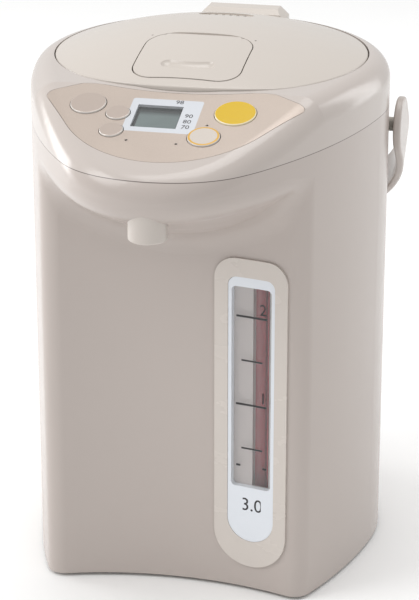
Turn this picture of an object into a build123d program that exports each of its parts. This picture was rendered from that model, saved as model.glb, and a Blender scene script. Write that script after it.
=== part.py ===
"""Electric thermo pot with a built-in pump, about 3 litres.

Millimetres, +Z up; the front, with the beak and the nozzle, faces -Y. Pieces are drawn
about the container's axis, with table level at zero. They are written from the middle of
the whole pot's base, which is a little in front of that axis.
"""
import os
from math import acos, asin, atan2, cos, radians, sin, sqrt, tan

from build123d import *

# ---------------------------------------------------------------- driving dimensions
# Case, seen from above
case_radius = 100.0  # round back, about the container's axis
side_radius = 290.0  # flank between the back and the beak
nose_radius = 58.0  # round front of the beak
beak_reach = 164.0  # axis to the tip of the beak
recess_reach = 86.0  # axis to the deepest line of the hollow front
recess_radius = 200.0  # hollow front below the beak
ridge_radius = 10.0  # rounded ridges beside the hollow front
case_wall = 2.5

# Case, seen from the side
foot_height = 2.5
case_base = 2.0  # lower edge of the shell above the table
under_height = 207.0  # where the hollow front meets the beak
under_radius = 100.0  # trough-shaped underside of the beak
under_tilt = 23.0  # its rise towards the tip, degrees
under_edge_radius = 16.0
parting_height = 260.0  # shell below, shoulder ring above
rim_height = 287.0
shoulder_radius = 13.0
lip_height = 2.0
lip_wall = 1.5
lip_gap = 0.2
lip_front_reach = 118.0

# Control panel
panel_tilt = 18.0  # degrees
panel_top_reach = 84.0  # axis to the line where the slope is panel_drop below the rim
panel_drop = 1.1
panel_thickness = 1.6
panel_floor = 1.2  # extra wall under the panel
panel_gap = 0.25
panel_nose_radius = 62.0
panel_nose_reach = 82.9  # axis to the centre of the panel's round front
panel_corner_x = 70.5
panel_corner_reach = 90.0
panel_shoulder_x = 51.0
panel_shoulder_reach = 80.0
panel_back_x = 46.0
panel_back_reach = 79.4
panel_middle_reach = 84.9
panel_corner_radius = 2.5
panel_shoulder_radius = 3.0

# Buttons: x, reach from the axis, radius
button_places = {
    "dispense_button": (34.7, 99.8, 11.0),
    "unlock_button": (22.6, 121.6, 8.6),
    "energy_button": (-44.6, 98.5, 9.6),
    "reboil_button": (-26.9, 105.2, 6.4),
    "temperature_button": (-26.7, 120.3, 6.3),
}
button_gap = 0.35
button_rise = 0.9  # above the panel
button_edge_radius = 0.8
button_travel = 1.2
button_flange = 1.2  # thickness of the hidden flange
button_overhang = 0.8
button_play = 0.35
button_stem_radius = 2.4

# Display and lamps
display_x = -5.7
display_reach = 106.2
display_width = 24.2
display_length = 20.5
display_pane = 1.3
display_sink = 0.2
display_frame = 0.4
lamp_places = ((22.1, 111.2), (-16.8, 127.9), (9.7, 128.6))
lamp_radius = 0.8

# Control board under the panel
board_depth = 12.0
board_thickness = 1.6
board_radius = 49.0
board_reach = 91.0
board_boss_places = ((16.0, 95.0), (-29.0, 94.5), (6.0, 134.5), (-38.0, 116.0))
board_boss_radius = 3.0
switch_side = 6.0
switch_body = 3.5
switch_plunger = 0.8
switch_plunger_radius = 1.7

# Lid
lid_radius = 87.4
lid_front_radius = 112.5
lid_front_centre = 30.0  # centre of the flatter front arc, behind the axis
lid_corner_radius = 50.0
lid_gap = 0.6
lid_rear_play = 2.4  # extra gap at the back, where the lid's edge swings
dome_rise = 15.0
lid_wall = 2.5
lid_skirt_base = 274.5
lid_edge_radius = 1.2

# Lever in the lid
lever_half_width = 29.5
lever_front_reach = 74.0
lever_back_reach = 17.0
lever_front_corner = 13.0
lever_back_corner = 16.0
lever_gap = 0.6
lever_front_gap = 1.0
lever_thickness = 4.5
lever_angle = 22.0  # travel, degrees
lever_barrel_radius = 2.8
lever_barrel_half = 21.0
lever_axis_reach = 20.0
lever_pin_radius = 1.25
tub_floor = 284.0
tub_wall = 1.8
groove_radius = 6.0
groove_depth = 1.5
groove_swing = 42.0
groove_half_angle = 15.0

# Latch driven by the lever
latch_travel = 4.5
latch_thickness = 3.0
latch_base = 276.0
latch_half_width = 9.0
latch_tip_reach = 86.5
latch_back_reach = 46.5
latch_bridge_reach = 56.0
latch_pin_height = 279.6
latch_pin_reach = 50.0
latch_pin_radius = 1.25
latch_cheek = 2.0
fin_half_width = 2.0
fin_side_gap = 0.5
fin_margin = 1.8
cam_gap = 0.3
latch_gap = 0.4
keeper_gap = 1.0

# Lid hinge
hinge_reach = 89.5  # behind the axis
hinge_height = 282.0
hinge_barrel_radius = 7.0
hinge_pin_radius = 2.0
hinge_half_width = 26.0
hinge_side_gap = 1.0
hinge_cheek = 4.5
hinge_pin_bite = 2.5
hinge_block_top = 292.0
hinge_block_front = 84.5
hinge_block_back = 94.5
hinge_block_slope = 5.0
hinge_tongue_front = 62.0
hinge_tongue_half = 20.0
hinge_tongue_thickness = 2.5
hinge_floor_gap = 0.5
hinge_floor = 3.0
shaft_gap = 0.05

# Steam way
vent_reach = 39.0  # behind the axis
vent_length = 32.0
vent_width = 14.0
vent_sink = 0.8
vent_plate = 2.0
vent_slot_width = 1.6
vent_slot_length = 8.0
vent_slot_pitch = 4.2
vent_slot_count = 6
steam_wall = 1.5
steam_cap_height = 3.5
steam_cap_margin = 4.0

# Inner plate of the lid
plug_radius = 72.0
plug_floor = 254.0
plate_wall = 1.2
plate_flange_radius = 81.0
plate_flange_base = 269.1
gasket_radius = 80.5
gasket_thickness = 2.0
gasket_lip = 1.0
lid_boss_radius = 4.0
lid_boss_circle = 75.5
screw_radius = 1.5
screw_head_radius = 2.8
screw_head_height = 1.8
screw_bite = 8.0

# Container
container_radius = 78.5  # inside
container_wall = 0.8
container_floor = 60.0
container_corner = 8.0
container_flange_radius = 82.5
flange_height = 266.0
seal_thickness = 0.8
ledge_thickness = 2.0
ledge_gap = 0.3
collar_wall = 2.0
sleeve_radius = 82.8
sleeve_gap = 0.1
sleeve_base = 66.0
sleeve_top = 256.0

# Water gauge on the hollow front
gauge_x = 42.5
gauge_low = 15.5
gauge_high = 198.0
gauge_width = 43.0
gauge_corner = 12.0
bezel_width = 27.7
bezel_low = 31.0
bezel_high = 187.5
bezel_corner = 5.0
window_width = 23.5
window_low = 64.0
window_high = 182.0
window_corner = 2.5
trim_rise = 1.2
bezel_rise = 0.9
pane_rise = 0.6
pane_thickness = 1.6
gauge_fit = 0.1
tube_depth = 9.9  # from the wall's face to the tube's axis
tube_radius = 5.0
tube_wall = 1.2
plate_width = 33.0
plate_thickness = 0.8
plate_slot = 9.8
plate_slot_shift = 4.4
backing_gap = 0.1
backing_thickness = 0.5

# Pump
pump_offset = 6.5  # outlet beside the pump's axis
pump_reach = 48.0
pump_radius = 20.0
pump_low = 30.0
pump_high = 44.0
pump_wall = 1.8
pump_inlet_radius = 7.0
pump_inlet_top = 51.0
pump_outlet_height = 37.0
pump_outlet_reach = 72.5
stub_radius = 7.0
stub_base = 52.0
rubber_wall = 1.8
impeller_radius = 16.5
impeller_hub_radius = 4.0
impeller_disc = 3.0
impeller_vane_height = 4.0
impeller_vane_width = 1.8
impeller_vanes = 6
impeller_vane_bite = 1.0
impeller_gap = 0.8
impeller_pin_radius = 1.5
magnet_radius = 14.0
magnet_height = 4.5
magnet_gap = 0.7
motor_radius = 13.0
motor_low = 6.5
motor_high = 22.0
motor_shaft_radius = 1.5
motor_shaft_bite = 10.0
bracket_wall = 1.6
bracket_floor = 1.6

# Outlet: hose, sight tube, valve, spout pipe, nozzle
hose_bend = 8.0
hose_overlap = 6.0
valve_radius = 7.0
valve_wall = 1.6
valve_low = 206.0
valve_high = 236.0
ball_radius = 4.6
ball_gap = 0.3  # above its seat
pipe_height = 250.5
pipe_bend = 8.0
pipe_end = 234.0
nozzle_reach = 151.0
nozzle_radius = 10.3
nozzle_wall = 1.8
nozzle_low = 226.6
nozzle_high = 242.4
nozzle_edge_radius = 1.5

# Heating
heater_radius = 49.0
heater_bore = 10.0
heater_thickness = 4.0
thermistor_radius = 6.0
thermistor_height = 7.0
fuse_radius = 2.5
fuse_length = 16.0
fuse_reach = 30.0
shield_radius = 76.0
shield_height = 47.0
shield_thickness = 0.8
shield_rim = 6.0
strainer_radius = 9.0
strainer_height = 3.0
strainer_wall = 0.6
strainer_bar = 1.2

# Handle
handle_axis_reach = 28.0  # behind the container's axis
handle_axis_height = 243.0
handle_hang = 45.0  # below level when it hangs behind the case, degrees
handle_inner_half = 101.4
handle_straight = 12.0  # straight part of each arm behind its axis
handle_thickness = 4.4
handle_inner_reach = 143.0  # container's axis to the bow, held level
handle_boss_radius = 16.0
handle_grip_radius = 9.0
handle_edge_radius = 1.4
pivot_radius = 4.0
pivot_skin = 1.2
pivot_boss_radius = 9.0
pivot_boss_depth = 9.0
pivot_collar_radius = 7.0
pivot_collar_gap = 0.35

# Bottom
cover_thickness = 2.5
cover_gap = 0.3
foot_radius = 8.0
foot_circle = 74.0
foot_angles = (45.0, 135.0, 225.0, 315.0)
boss_radius = 5.0
boss_inset = 6.0  # from the case's face to the boss's axis
boss_height = 26.0
boss_back_angle = 40.0
boss_front_reach = 62.0
power_board_width = 60.0
power_board_length = 66.0
power_board_x = -42.0
power_board_y = 14.0
power_board_height = 12.0
power_post_radius = 2.5
power_post_inset = 4.0

# Power socket at the back
socket_height = 20.0
socket_half_width = 13.8
socket_half_height = 7.8
socket_depth = 14.0
socket_flange = 3.0
socket_flange_thickness = 2.0
socket_recess = 6.0
socket_rim = 2.2
contact_radius = 2.0
contact_spacing = 12.0
contact_length = 5.0

# Wires
wire_radius = 1.8
wire_bend = 12.0

# ---------------------------------------------------------------- derived places
far = 400.0  # longer than the object
handle_turn = radians(handle_hang)
handle_length = handle_inner_reach + handle_thickness - handle_edge_radius - handle_axis_reach
handle_back_reach = (
    handle_axis_reach
    + handle_length * cos(handle_turn)
    + (handle_grip_radius - handle_edge_radius) * sin(handle_turn)
    + handle_edge_radius
)
axis_reach = (beak_reach - handle_back_reach) / 2  # origin to the container's axis
recess_axis_y = -(recess_reach + recess_radius)
under_axis_height = under_height + under_radius / cos(radians(under_tilt))
panel_top_height = rim_height - panel_drop
panel_plane = Plane(
    origin=(0, -panel_top_reach, panel_top_height),
    x_dir=(1, 0, 0),
    z_dir=(0, -sin(radians(panel_tilt)), cos(radians(panel_tilt))),
)
gauge_angle = asin(gauge_x / recess_radius)
gauge_plane = Plane(
    origin=(gauge_x, recess_axis_y + recess_radius * cos(gauge_angle), 0),
    x_dir=(cos(gauge_angle), -sin(gauge_angle), 0),
    z_dir=(-sin(gauge_angle), -cos(gauge_angle), 0),
)
tube_x = (recess_radius + tube_depth) * sin(gauge_angle)
tube_y = recess_axis_y + (recess_radius + tube_depth) * cos(gauge_angle)
pump_x = tube_x - pump_offset
pump_y = -pump_reach
dome_radius = (lid_radius**2 + dome_rise**2) / (2 * dome_rise)
dome_top = rim_height + dome_rise
dome_centre = dome_top - dome_radius
lever_axis_height = dome_centre + sqrt(dome_radius**2 - lever_axis_reach**2) - lever_barrel_radius
ledge_top = flange_height - seal_thickness
ledge_base = ledge_top - ledge_thickness
flange_top = flange_height + container_wall
cover_top = foot_height + cover_thickness
container_outer = container_radius + container_wall


def panel_point(x, reach):
    """A point of the sloping panel in the panel plane's own coordinates."""
    return (x, (panel_top_reach - reach) / cos(radians(panel_tilt)))


# ---------------------------------------------------------------- shared outlines
def case_arcs(inset):
    """Ends and middle of the right flank arc, tangent to the back and to the nose."""
    gap = beak_reach - nose_radius
    to_back = side_radius - case_radius
    to_nose = side_radius - nose_radius
    centre_y = (to_nose**2 - to_back**2 - gap**2) / (2 * gap)
    centre_x = -sqrt(to_back**2 - centre_y**2)
    back = (
        -centre_x / to_back * (case_radius - inset),
        -centre_y / to_back * (case_radius - inset),
    )
    nose = (
        -centre_x / to_nose * (nose_radius - inset),
        -gap - (gap + centre_y) / to_nose * (nose_radius - inset),
    )
    start = atan2(back[1] - centre_y, back[0] - centre_x)
    end = atan2(nose[1] - centre_y, nose[0] - centre_x)
    turn = (start + end) / 2
    reach = side_radius - inset
    middle = (centre_x + reach * cos(turn), centre_y + reach * sin(turn))
    return back, middle, nose


def case_outline(inset):
    """Round back, two flanks and the round nose."""
    back, middle, nose = case_arcs(inset)
    with BuildSketch() as plan:
        with BuildLine():
            ThreePointArc((-back[0], back[1]), (0, case_radius - inset), back)
            ThreePointArc(back, middle, nose)
            ThreePointArc(nose, (0, inset - beak_reach), (-nose[0], nose[1]))
            ThreePointArc((-nose[0], nose[1]), (-middle[0], middle[1]), (-back[0], back[1]))
        make_face()
    return plan.sketch


def column_outline(inset):
    """The case below the beak, with its hollow front."""
    with BuildSketch() as plan:
        add(case_outline(inset))
        with Locations((0, recess_axis_y)):
            Circle(recess_radius + inset, mode=Mode.SUBTRACT)
        fillet(plan.vertices().group_by(Axis.Y)[0], ridge_radius - inset)
    return plan.sketch


def case_form(inset, floor_inset, bottom):
    """The closed form of the whole case, shrunk by inset, and by floor_inset at the panel."""
    beak_overlap = case_radius / 2
    with BuildPart() as beak:
        with BuildSketch(Plane.XY.offset(under_height - beak_overlap)):
            add(case_outline(inset))
        extrude(amount=rim_height - inset - under_height + beak_overlap)
        trough = Plane(
            origin=(0, -recess_reach, under_axis_height),
            x_dir=(1, 0, 0),
            z_dir=(0, -cos(radians(under_tilt)), sin(radians(under_tilt))),
        )
        with BuildSketch(trough):
            Circle(under_radius - inset)
        extrude(amount=far, both=True, mode=Mode.INTERSECT)
    with BuildPart() as form:
        with BuildSketch(Plane.XY.offset(bottom)):
            add(column_outline(inset))
        extrude(amount=rim_height - inset - bottom)
        add(beak.part)
        with BuildSketch(panel_plane.offset(-floor_inset)):
            Rectangle(far, far)
        extrude(amount=far, mode=Mode.SUBTRACT)
        curved = form.faces().filter_by(GeomType.PLANE, reverse=True)
        underside = curved.sort_by(lambda face: face.normal_at(face.center()).Z)[0]
        fillet(underside.edges(), under_edge_radius - inset)
        top = form.faces().filter_by(Plane.XY).sort_by(Axis.Z)[-1]
        slope = form.faces().filter_by(panel_plane).sort_by(Axis.Z)[-1]
        rim = (top.edges() + slope.edges()).filter_by(GeomType.LINE, reverse=True)
        fillet(rim, shoulder_radius - inset)
    return form.part


def lid_outline(gap):
    """The lid from above: a circle with a flatter front and round corners between them."""
    to_round = lid_radius - lid_corner_radius
    to_front = lid_front_radius - lid_corner_radius
    reach = lid_front_centre
    centre_y = -(to_front**2 - to_round**2 - reach**2) / (2 * reach)
    centre_x = sqrt(to_round**2 - centre_y**2)
    radius = lid_corner_radius + gap
    start = atan2(centre_y, centre_x)
    end = atan2(centre_y - reach, centre_x)
    touches = [
        (centre_x + radius * cos(turn), centre_y + radius * sin(turn))
        for turn in (start, (start + end) / 2, end)
    ]
    mirrored = [(-x, y) for x, y in touches]
    with BuildSketch() as plan:
        with BuildLine():
            ThreePointArc(mirrored[0], (0, lid_radius + gap), touches[0])
            ThreePointArc(*touches)
            ThreePointArc(touches[2], (0, reach - lid_front_radius - gap), mirrored[2])
            ThreePointArc(*reversed(mirrored))
        make_face()
    return plan.sketch


def mouth_outline(gap):
    """The opening for the lid, wider at the back where the lid's edge swings."""
    with BuildSketch() as rear:
        Ellipse(lid_radius + gap, lid_radius + gap + lid_rear_play)
        with Locations((0, far / 2)):
            Rectangle(far, far, mode=Mode.INTERSECT)
    with BuildSketch() as plan:
        add(lid_outline(gap))
        add(rear.sketch)
    return plan.sketch


def lever_outline(gap, front_gap):
    """The lever from above: rounded corners, larger ones at the back."""
    front = lever_front_reach + front_gap
    back = lever_back_reach - gap
    with BuildSketch() as plan:
        with Locations((0, -(front + back) / 2)):
            Rectangle(2 * (lever_half_width + gap), front - back)
        fillet(plan.vertices().group_by(Axis.Y)[0], lever_front_corner + gap)
        fillet(plan.vertices().group_by(Axis.Y)[-1], lever_back_corner + gap)
    return plan.sketch


def vent_outline(margin):
    """The steam vent from above."""
    with BuildSketch() as plan:
        with Locations((0, vent_reach)):
            SlotOverall(vent_length + 2 * margin, vent_width + 2 * margin)
    return plan.sketch


def panel_outline(gap):
    """The control panel from above."""
    corner = (panel_corner_x, -panel_corner_reach)
    dx = corner[0]
    dy = corner[1] + panel_nose_reach
    turn = atan2(dy, dx) - acos(panel_nose_radius / sqrt(dx**2 + dy**2))
    touch = (
        panel_nose_radius * cos(turn),
        -panel_nose_reach + panel_nose_radius * sin(turn),
    )
    shoulder = (panel_shoulder_x, -panel_shoulder_reach)
    back = (panel_back_x, -panel_back_reach)
    nose = (0, -panel_nose_reach - panel_nose_radius)
    middle = (0, -panel_middle_reach)
    with BuildSketch() as plan:
        with BuildLine():
            ThreePointArc((-touch[0], touch[1]), nose, touch)
            Polyline(touch, corner, shoulder, back)
            ThreePointArc(back, middle, (-back[0], back[1]))
            Polyline(
                (-back[0], back[1]),
                (-shoulder[0], shoulder[1]),
                (-corner[0], corner[1]),
                (-touch[0], touch[1]),
            )
        make_face()
        corners = plan.vertices().filter_by(lambda v: abs(abs(v.X) - panel_corner_x) < gauge_fit)
        fillet(corners, panel_corner_radius)
        bends = plan.vertices().filter_by(lambda v: abs(abs(v.X) - panel_shoulder_x) < gauge_fit)
        fillet(bends, panel_shoulder_radius)
        if gap:
            offset(amount=gap)
    return plan.sketch


def gauge_outline(width, low, high, corner, round_end):
    """An upright outline behind the gauge, with a half-round lower end or four corners."""
    start = low + width / 2 if round_end else low
    with BuildSketch(gauge_plane.offset(-gauge_width)) as face:
        with Locations((0, (start + high) / 2)):
            Rectangle(width, high - start)
        if round_end:
            fillet(face.vertices().group_by(Axis.Y)[-1], corner)
            with Locations((0, start)):
                Circle(width / 2)
        else:
            fillet(face.vertices(), corner)
    return face.sketch


def wall_sheet(outline, front, back):
    """A sheet that follows the hollow front, from front proud of it to back behind it."""
    with BuildPart() as sheet:
        extrude(outline, amount=2 * gauge_width, dir=gauge_plane.z_dir)
        with BuildSketch():
            with Locations((0, recess_axis_y)):
                Circle(recess_radius + back)
                Circle(recess_radius - front, mode=Mode.SUBTRACT)
        extrude(amount=parting_height, mode=Mode.INTERSECT)
    return sheet.part


def dome_cap(outline, base, depth):
    """What stands on an outline up to depth below the dome's surface."""
    with BuildPart() as cap:
        with BuildSketch(Plane.XY.offset(base)):
            add(outline)
        extrude(amount=dome_top - base)
        with Locations((0, 0, dome_centre)):
            Sphere(dome_radius - depth, rotation=(90, 0, 0), mode=Mode.INTERSECT)
    return cap.part


def turned(points):
    """A ring or disc about the container's axis, from its section as (radius, height)."""
    with BuildPart() as ring:
        with BuildSketch(Plane.XZ):
            with BuildLine():
                Polyline(*points, close=True)
            make_face()
        revolve(axis=Axis.Z)
    return ring.part


def rod(place, direction, radius, length):
    """A round rod from a place along a direction."""
    with BuildPart() as bar:
        with BuildSketch(Plane(origin=place, z_dir=direction)):
            Circle(radius)
        extrude(amount=length)
    return bar.part


def screw(place, direction, head_radius, length):
    """A pan-head screw: head on the near side of a place, shank along a direction."""
    seat = Plane(origin=place, z_dir=direction)
    with BuildPart() as fastener:
        with BuildSketch(seat):
            Circle(head_radius)
        extrude(amount=-screw_head_height)
        fillet(fastener.edges().group_by(Axis(place, direction))[0], screw_head_height / 3)
        with BuildSketch(seat):
            Circle(screw_radius)
        extrude(amount=length)
        with BuildSketch(seat.offset(-screw_head_height)):
            Rectangle(head_radius, screw_head_height / 3)
            Rectangle(screw_head_height / 3, head_radius)
        extrude(amount=screw_head_height / 2, mode=Mode.SUBTRACT)
    return fastener.part


def save(part, name):
    """Label a finished piece and write it, measured from the middle of the pot's base."""
    with BuildPart() as placed:
        with Locations((0, axis_reach, 0)):
            add(part)
    placed.part.label = name
    export_step(placed.part, f"parts/{name}.step")


def flank_x(reach, inset):
    """Half-width of the case at a reach in front of the axis, on the flank."""
    back, middle, nose = case_arcs(inset)
    flank = ThreePointArc(back, middle, nose)
    centre = flank.arc_center
    return centre.X + sqrt((side_radius - inset) ** 2 - (reach + centre.Y) ** 2)


os.makedirs("parts", exist_ok=True)
outer_form = case_form(0, 0, case_base)
inner_form = case_form(case_wall, case_wall + panel_floor, case_base - case_wall)

boss_back = (case_radius - boss_inset) * cos(radians(boss_back_angle))
boss_front = flank_x(boss_front_reach, boss_inset)
boss_places = [
    (side * x, y)
    for side in (-1, 1)
    for x, y in (
        (boss_back, boss_back * tan(radians(boss_back_angle))),
        (boss_front, -boss_front_reach),
    )
]

# ---------------------------------------------------------------- body shell
bezel_opening = gauge_outline(bezel_width, bezel_low, bezel_high, bezel_corner, True)
with BuildPart() as body_shell:
    add(outer_form)
    add(inner_form, mode=Mode.SUBTRACT)
    split(bisect_by=Plane.XY.offset(parting_height), keep=Keep.BOTTOM)
    # bosses for the bottom screws
    with BuildSketch(Plane.XY.offset(cover_top)):
        with Locations(*boss_places):
            Circle(boss_radius)
    extrude(amount=boss_height)
    # bosses for the handle's pivots
    with BuildSketch(Plane.YZ.offset(case_radius - case_wall / 2 - pivot_boss_depth)):
        with Locations((handle_axis_reach, handle_axis_height)):
            Circle(pivot_boss_radius)
    extrude(amount=pivot_boss_depth)
    with BuildSketch(Plane.YZ.offset(-case_radius + case_wall / 2 + pivot_boss_depth)):
        with Locations((handle_axis_reach, handle_axis_height)):
            Circle(pivot_boss_radius)
    extrude(amount=-pivot_boss_depth)
    add(outer_form, mode=Mode.INTERSECT)
    # bores for the pivots and the bottom screws
    with BuildSketch(Plane.YZ):
        with Locations((handle_axis_reach, handle_axis_height)):
            Circle(pivot_radius)
    extrude(amount=far, both=True, mode=Mode.SUBTRACT)
    with BuildSketch(Plane.XY.offset(cover_top)):
        with Locations(*boss_places):
            Circle(screw_radius)
    extrude(amount=screw_bite, mode=Mode.SUBTRACT)
    # openings for the gauge, the nozzle and the power socket
    add(wall_sheet(bezel_opening, case_wall, 2 * case_wall), mode=Mode.SUBTRACT)
    with BuildSketch(Plane.XY.offset(nozzle_low - case_wall)):
        with Locations((0, -nozzle_reach)):
            Circle(nozzle_radius)
    extrude(amount=nozzle_high - nozzle_low + case_wall, mode=Mode.SUBTRACT)
    with BuildSketch(Plane.XZ.offset(-case_radius - case_wall)):
        with Locations((0, socket_height)):
            Rectangle(2 * socket_half_width, 2 * socket_half_height)
    extrude(amount=4 * case_wall, mode=Mode.SUBTRACT)
save(body_shell.part, "body_shell")

# ---------------------------------------------------------------- shoulder ring
notch_half = hinge_half_width + hinge_side_gap
notch_floor = hinge_height - hinge_barrel_radius - hinge_floor_gap
with BuildPart() as notch_block:
    with BuildSketch(Plane.XY.offset(notch_floor - hinge_floor)):
        with Locations((0, hinge_reach)):
            Rectangle(2 * (notch_half + hinge_cheek), 2 * (case_radius - hinge_reach + hinge_barrel_radius))
    extrude(amount=rim_height - notch_floor + hinge_floor)
    add(outer_form, mode=Mode.INTERSECT)

button_floor = case_wall + panel_floor
with BuildPart() as top_ring:
    add(outer_form)
    add(inner_form, mode=Mode.SUBTRACT)
    split(bisect_by=Plane.XY.offset(parting_height), keep=Keep.TOP)
    # collar round the lid and ledge for the container's flange
    with BuildSketch(Plane.XY.offset(ledge_base)):
        add(mouth_outline(lid_gap + collar_wall))
    extrude(amount=rim_height - case_wall / 2 - ledge_base)
    add(notch_block.part)
    # bosses for the control board
    with BuildSketch(panel_plane.offset(-board_depth)):
        for place in board_boss_places:
            with Locations(panel_point(*place)):
                Circle(board_boss_radius)
    extrude(amount=board_depth - case_wall)
    # lip that centres the ring in the shell
    with BuildSketch(Plane.XY.offset(parting_height - lip_height)):
        add(case_outline(case_wall + lip_gap))
        add(case_outline(case_wall + lip_gap + lip_wall), mode=Mode.SUBTRACT)
        Rectangle(4 * case_radius, 2 * lip_front_reach, mode=Mode.INTERSECT)
    extrude(amount=lip_height)
    with BuildSketch(Plane.XY.offset(parting_height)):
        add(case_outline(case_wall / 2))
        add(case_outline(case_wall + lip_gap + lip_wall), mode=Mode.SUBTRACT)
        Rectangle(4 * case_radius, 2 * lip_front_reach, mode=Mode.INTERSECT)
    extrude(amount=lip_height)
    # mouth for the lid
    with BuildSketch(Plane.XY.offset(ledge_top)):
        add(mouth_outline(lid_gap))
    extrude(amount=far, mode=Mode.SUBTRACT)
    with BuildSketch(Plane.XY.offset(ledge_base)):
        Circle(container_outer + ledge_gap)
    extrude(amount=far, mode=Mode.SUBTRACT)
    # notch and bores of the hinge
    with BuildSketch(Plane.XY.offset(notch_floor)):
        with Locations((0, hinge_reach)):
            Rectangle(2 * notch_half, 2 * (case_radius - hinge_reach + hinge_barrel_radius))
    extrude(amount=far, mode=Mode.SUBTRACT)
    with BuildSketch(Plane.YZ):
        with Locations((hinge_reach, hinge_height)):
            Circle(hinge_pin_radius)
    extrude(amount=notch_half + hinge_pin_bite, both=True, mode=Mode.SUBTRACT)
    # slot for the latch in the front of the collar
    with BuildSketch(Plane.XZ.offset(lid_front_radius - lid_front_centre - collar_wall)):
        with Locations((0, latch_base + latch_thickness / 2)):
            Rectangle(
                2 * (latch_half_width + keeper_gap),
                latch_thickness + 2 * keeper_gap,
            )
    extrude(amount=4 * collar_wall, mode=Mode.SUBTRACT)
    # seat of the panel
    with BuildPart(mode=Mode.PRIVATE) as seat:
        with BuildSketch(Plane.XY.offset(parting_height)):
            add(panel_outline(panel_gap))
        extrude(amount=far)
        split(bisect_by=panel_plane.offset(-panel_thickness), keep=Keep.TOP)
    add(seat.part, mode=Mode.SUBTRACT)
    # holes for the buttons, the display, the lamps and the board's screws
    with BuildSketch(panel_plane.offset(-button_floor - panel_floor)):
        for x, reach, radius in button_places.values():
            with Locations(panel_point(x, reach)):
                Circle(radius + button_gap)
        for place in lamp_places:
            with Locations(panel_point(*place)):
                Circle(lamp_radius)
        with Locations(panel_point(display_x, display_reach)):
            Rectangle(display_width + 4 * display_frame, display_length + 4 * display_frame)
    extrude(amount=far / 2, mode=Mode.SUBTRACT)
    with BuildSketch(panel_plane.offset(-board_depth)):
        for place in board_boss_places:
            with Locations(panel_point(*place)):
                Circle(screw_radius)
    extrude(amount=screw_bite, mode=Mode.SUBTRACT)
save(top_ring.part, "top_ring")

# ---------------------------------------------------------------- control panel
with BuildPart() as control_panel:
    with BuildSketch(Plane.XY.offset(parting_height)):
        add(panel_outline(0))
    extrude(amount=far)
    add(outer_form, mode=Mode.INTERSECT)
    split(bisect_by=panel_plane.offset(-panel_thickness), keep=Keep.TOP)
    with BuildSketch(panel_plane.offset(-panel_thickness)):
        for x, reach, radius in button_places.values():
            with Locations(panel_point(x, reach)):
                Circle(radius + button_gap)
        for place in lamp_places:
            with Locations(panel_point(*place)):
                Circle(lamp_radius)
        with Locations(panel_point(display_x, display_reach)):
            Rectangle(display_width, display_length)
    extrude(amount=far, mode=Mode.SUBTRACT)
save(control_panel.part, "control_panel")

with BuildPart() as lcd_window:
    with BuildSketch(panel_plane.offset(-panel_thickness)):
        with Locations(panel_point(display_x, display_reach)):
            Rectangle(display_width, display_length)
    extrude(amount=panel_thickness - display_sink)
save(lcd_window.part, "lcd_window")

with BuildPart() as lcd_module:
    with BuildSketch(panel_plane.offset(-board_depth)):
        with Locations(panel_point(display_x, display_reach)):
            Rectangle(display_width + 2 * display_frame, display_length + 2 * display_frame)
    extrude(amount=board_depth - panel_thickness)
    # hollow under the glass, where the lamp's diffuser would be
    with BuildSketch(panel_plane.offset(-board_depth)):
        with Locations(panel_point(display_x, display_reach)):
            Rectangle(display_width - 4 * display_pane, display_length - 4 * display_pane)
    extrude(amount=board_depth - panel_thickness - 2 * display_pane, mode=Mode.SUBTRACT)
save(lcd_module.part, "lcd_module")

with BuildPart() as indicator_lenses:
    with BuildSketch(panel_plane.offset(-board_depth)):
        for place in lamp_places:
            with Locations(panel_point(*place)):
                Circle(lamp_radius)
    extrude(amount=board_depth + display_sink)
save(indicator_lenses.part, "indicator_lenses")

# ---------------------------------------------------------------- buttons
switch_top = board_depth - switch_body - switch_plunger
stem_end = switch_top - button_travel - button_play
flange_top_depth = button_floor + button_play
for button_name, (x, reach, radius) in button_places.items():
    with BuildPart() as button:
        with BuildSketch(panel_plane.offset(-flange_top_depth - button_flange)):
            with Locations(panel_point(x, reach)):
                Circle(radius)
        extrude(amount=flange_top_depth + button_flange + button_rise)
        fillet(button.edges().group_by(Axis((0, 0, 0), panel_plane.z_dir))[-1], button_edge_radius)
        with BuildSketch(panel_plane.offset(-flange_top_depth - button_flange)):
            with Locations(panel_point(x, reach)):
                Circle(radius + button_gap + button_overhang)
        extrude(amount=button_flange)
        with BuildSketch(panel_plane.offset(-stem_end)):
            with Locations(panel_point(x, reach)):
                Circle(button_stem_radius)
        extrude(amount=stem_end - flange_top_depth)
    save(button.part, button_name)

# ---------------------------------------------------------------- control board
with BuildPart() as control_board:
    with BuildSketch(panel_plane.offset(-board_depth)):
        with Locations(panel_point(0, board_reach)):
            Circle(board_radius)
        with Locations(panel_point(0, board_reach + board_radius / cos(radians(panel_tilt)))):
            Rectangle(far, 2 * board_radius / cos(radians(panel_tilt)), mode=Mode.INTERSECT)
        for place in board_boss_places:
            with Locations(panel_point(*place)):
                Circle(screw_radius, mode=Mode.SUBTRACT)
    extrude(amount=-board_thickness)
save(control_board.part, "control_board")

with BuildPart() as tact_switches:
    for x, reach, radius in button_places.values():
        with BuildSketch(panel_plane.offset(-board_depth)):
            with Locations(panel_point(x, reach)):
                Rectangle(switch_side, switch_side)
        extrude(amount=switch_body)
        with BuildSketch(panel_plane.offset(-board_depth)):
            with Locations(panel_point(x, reach)):
                Circle(switch_plunger_radius)
        extrude(amount=switch_body + switch_plunger)
save(tact_switches.part, "tact_switches")

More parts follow.
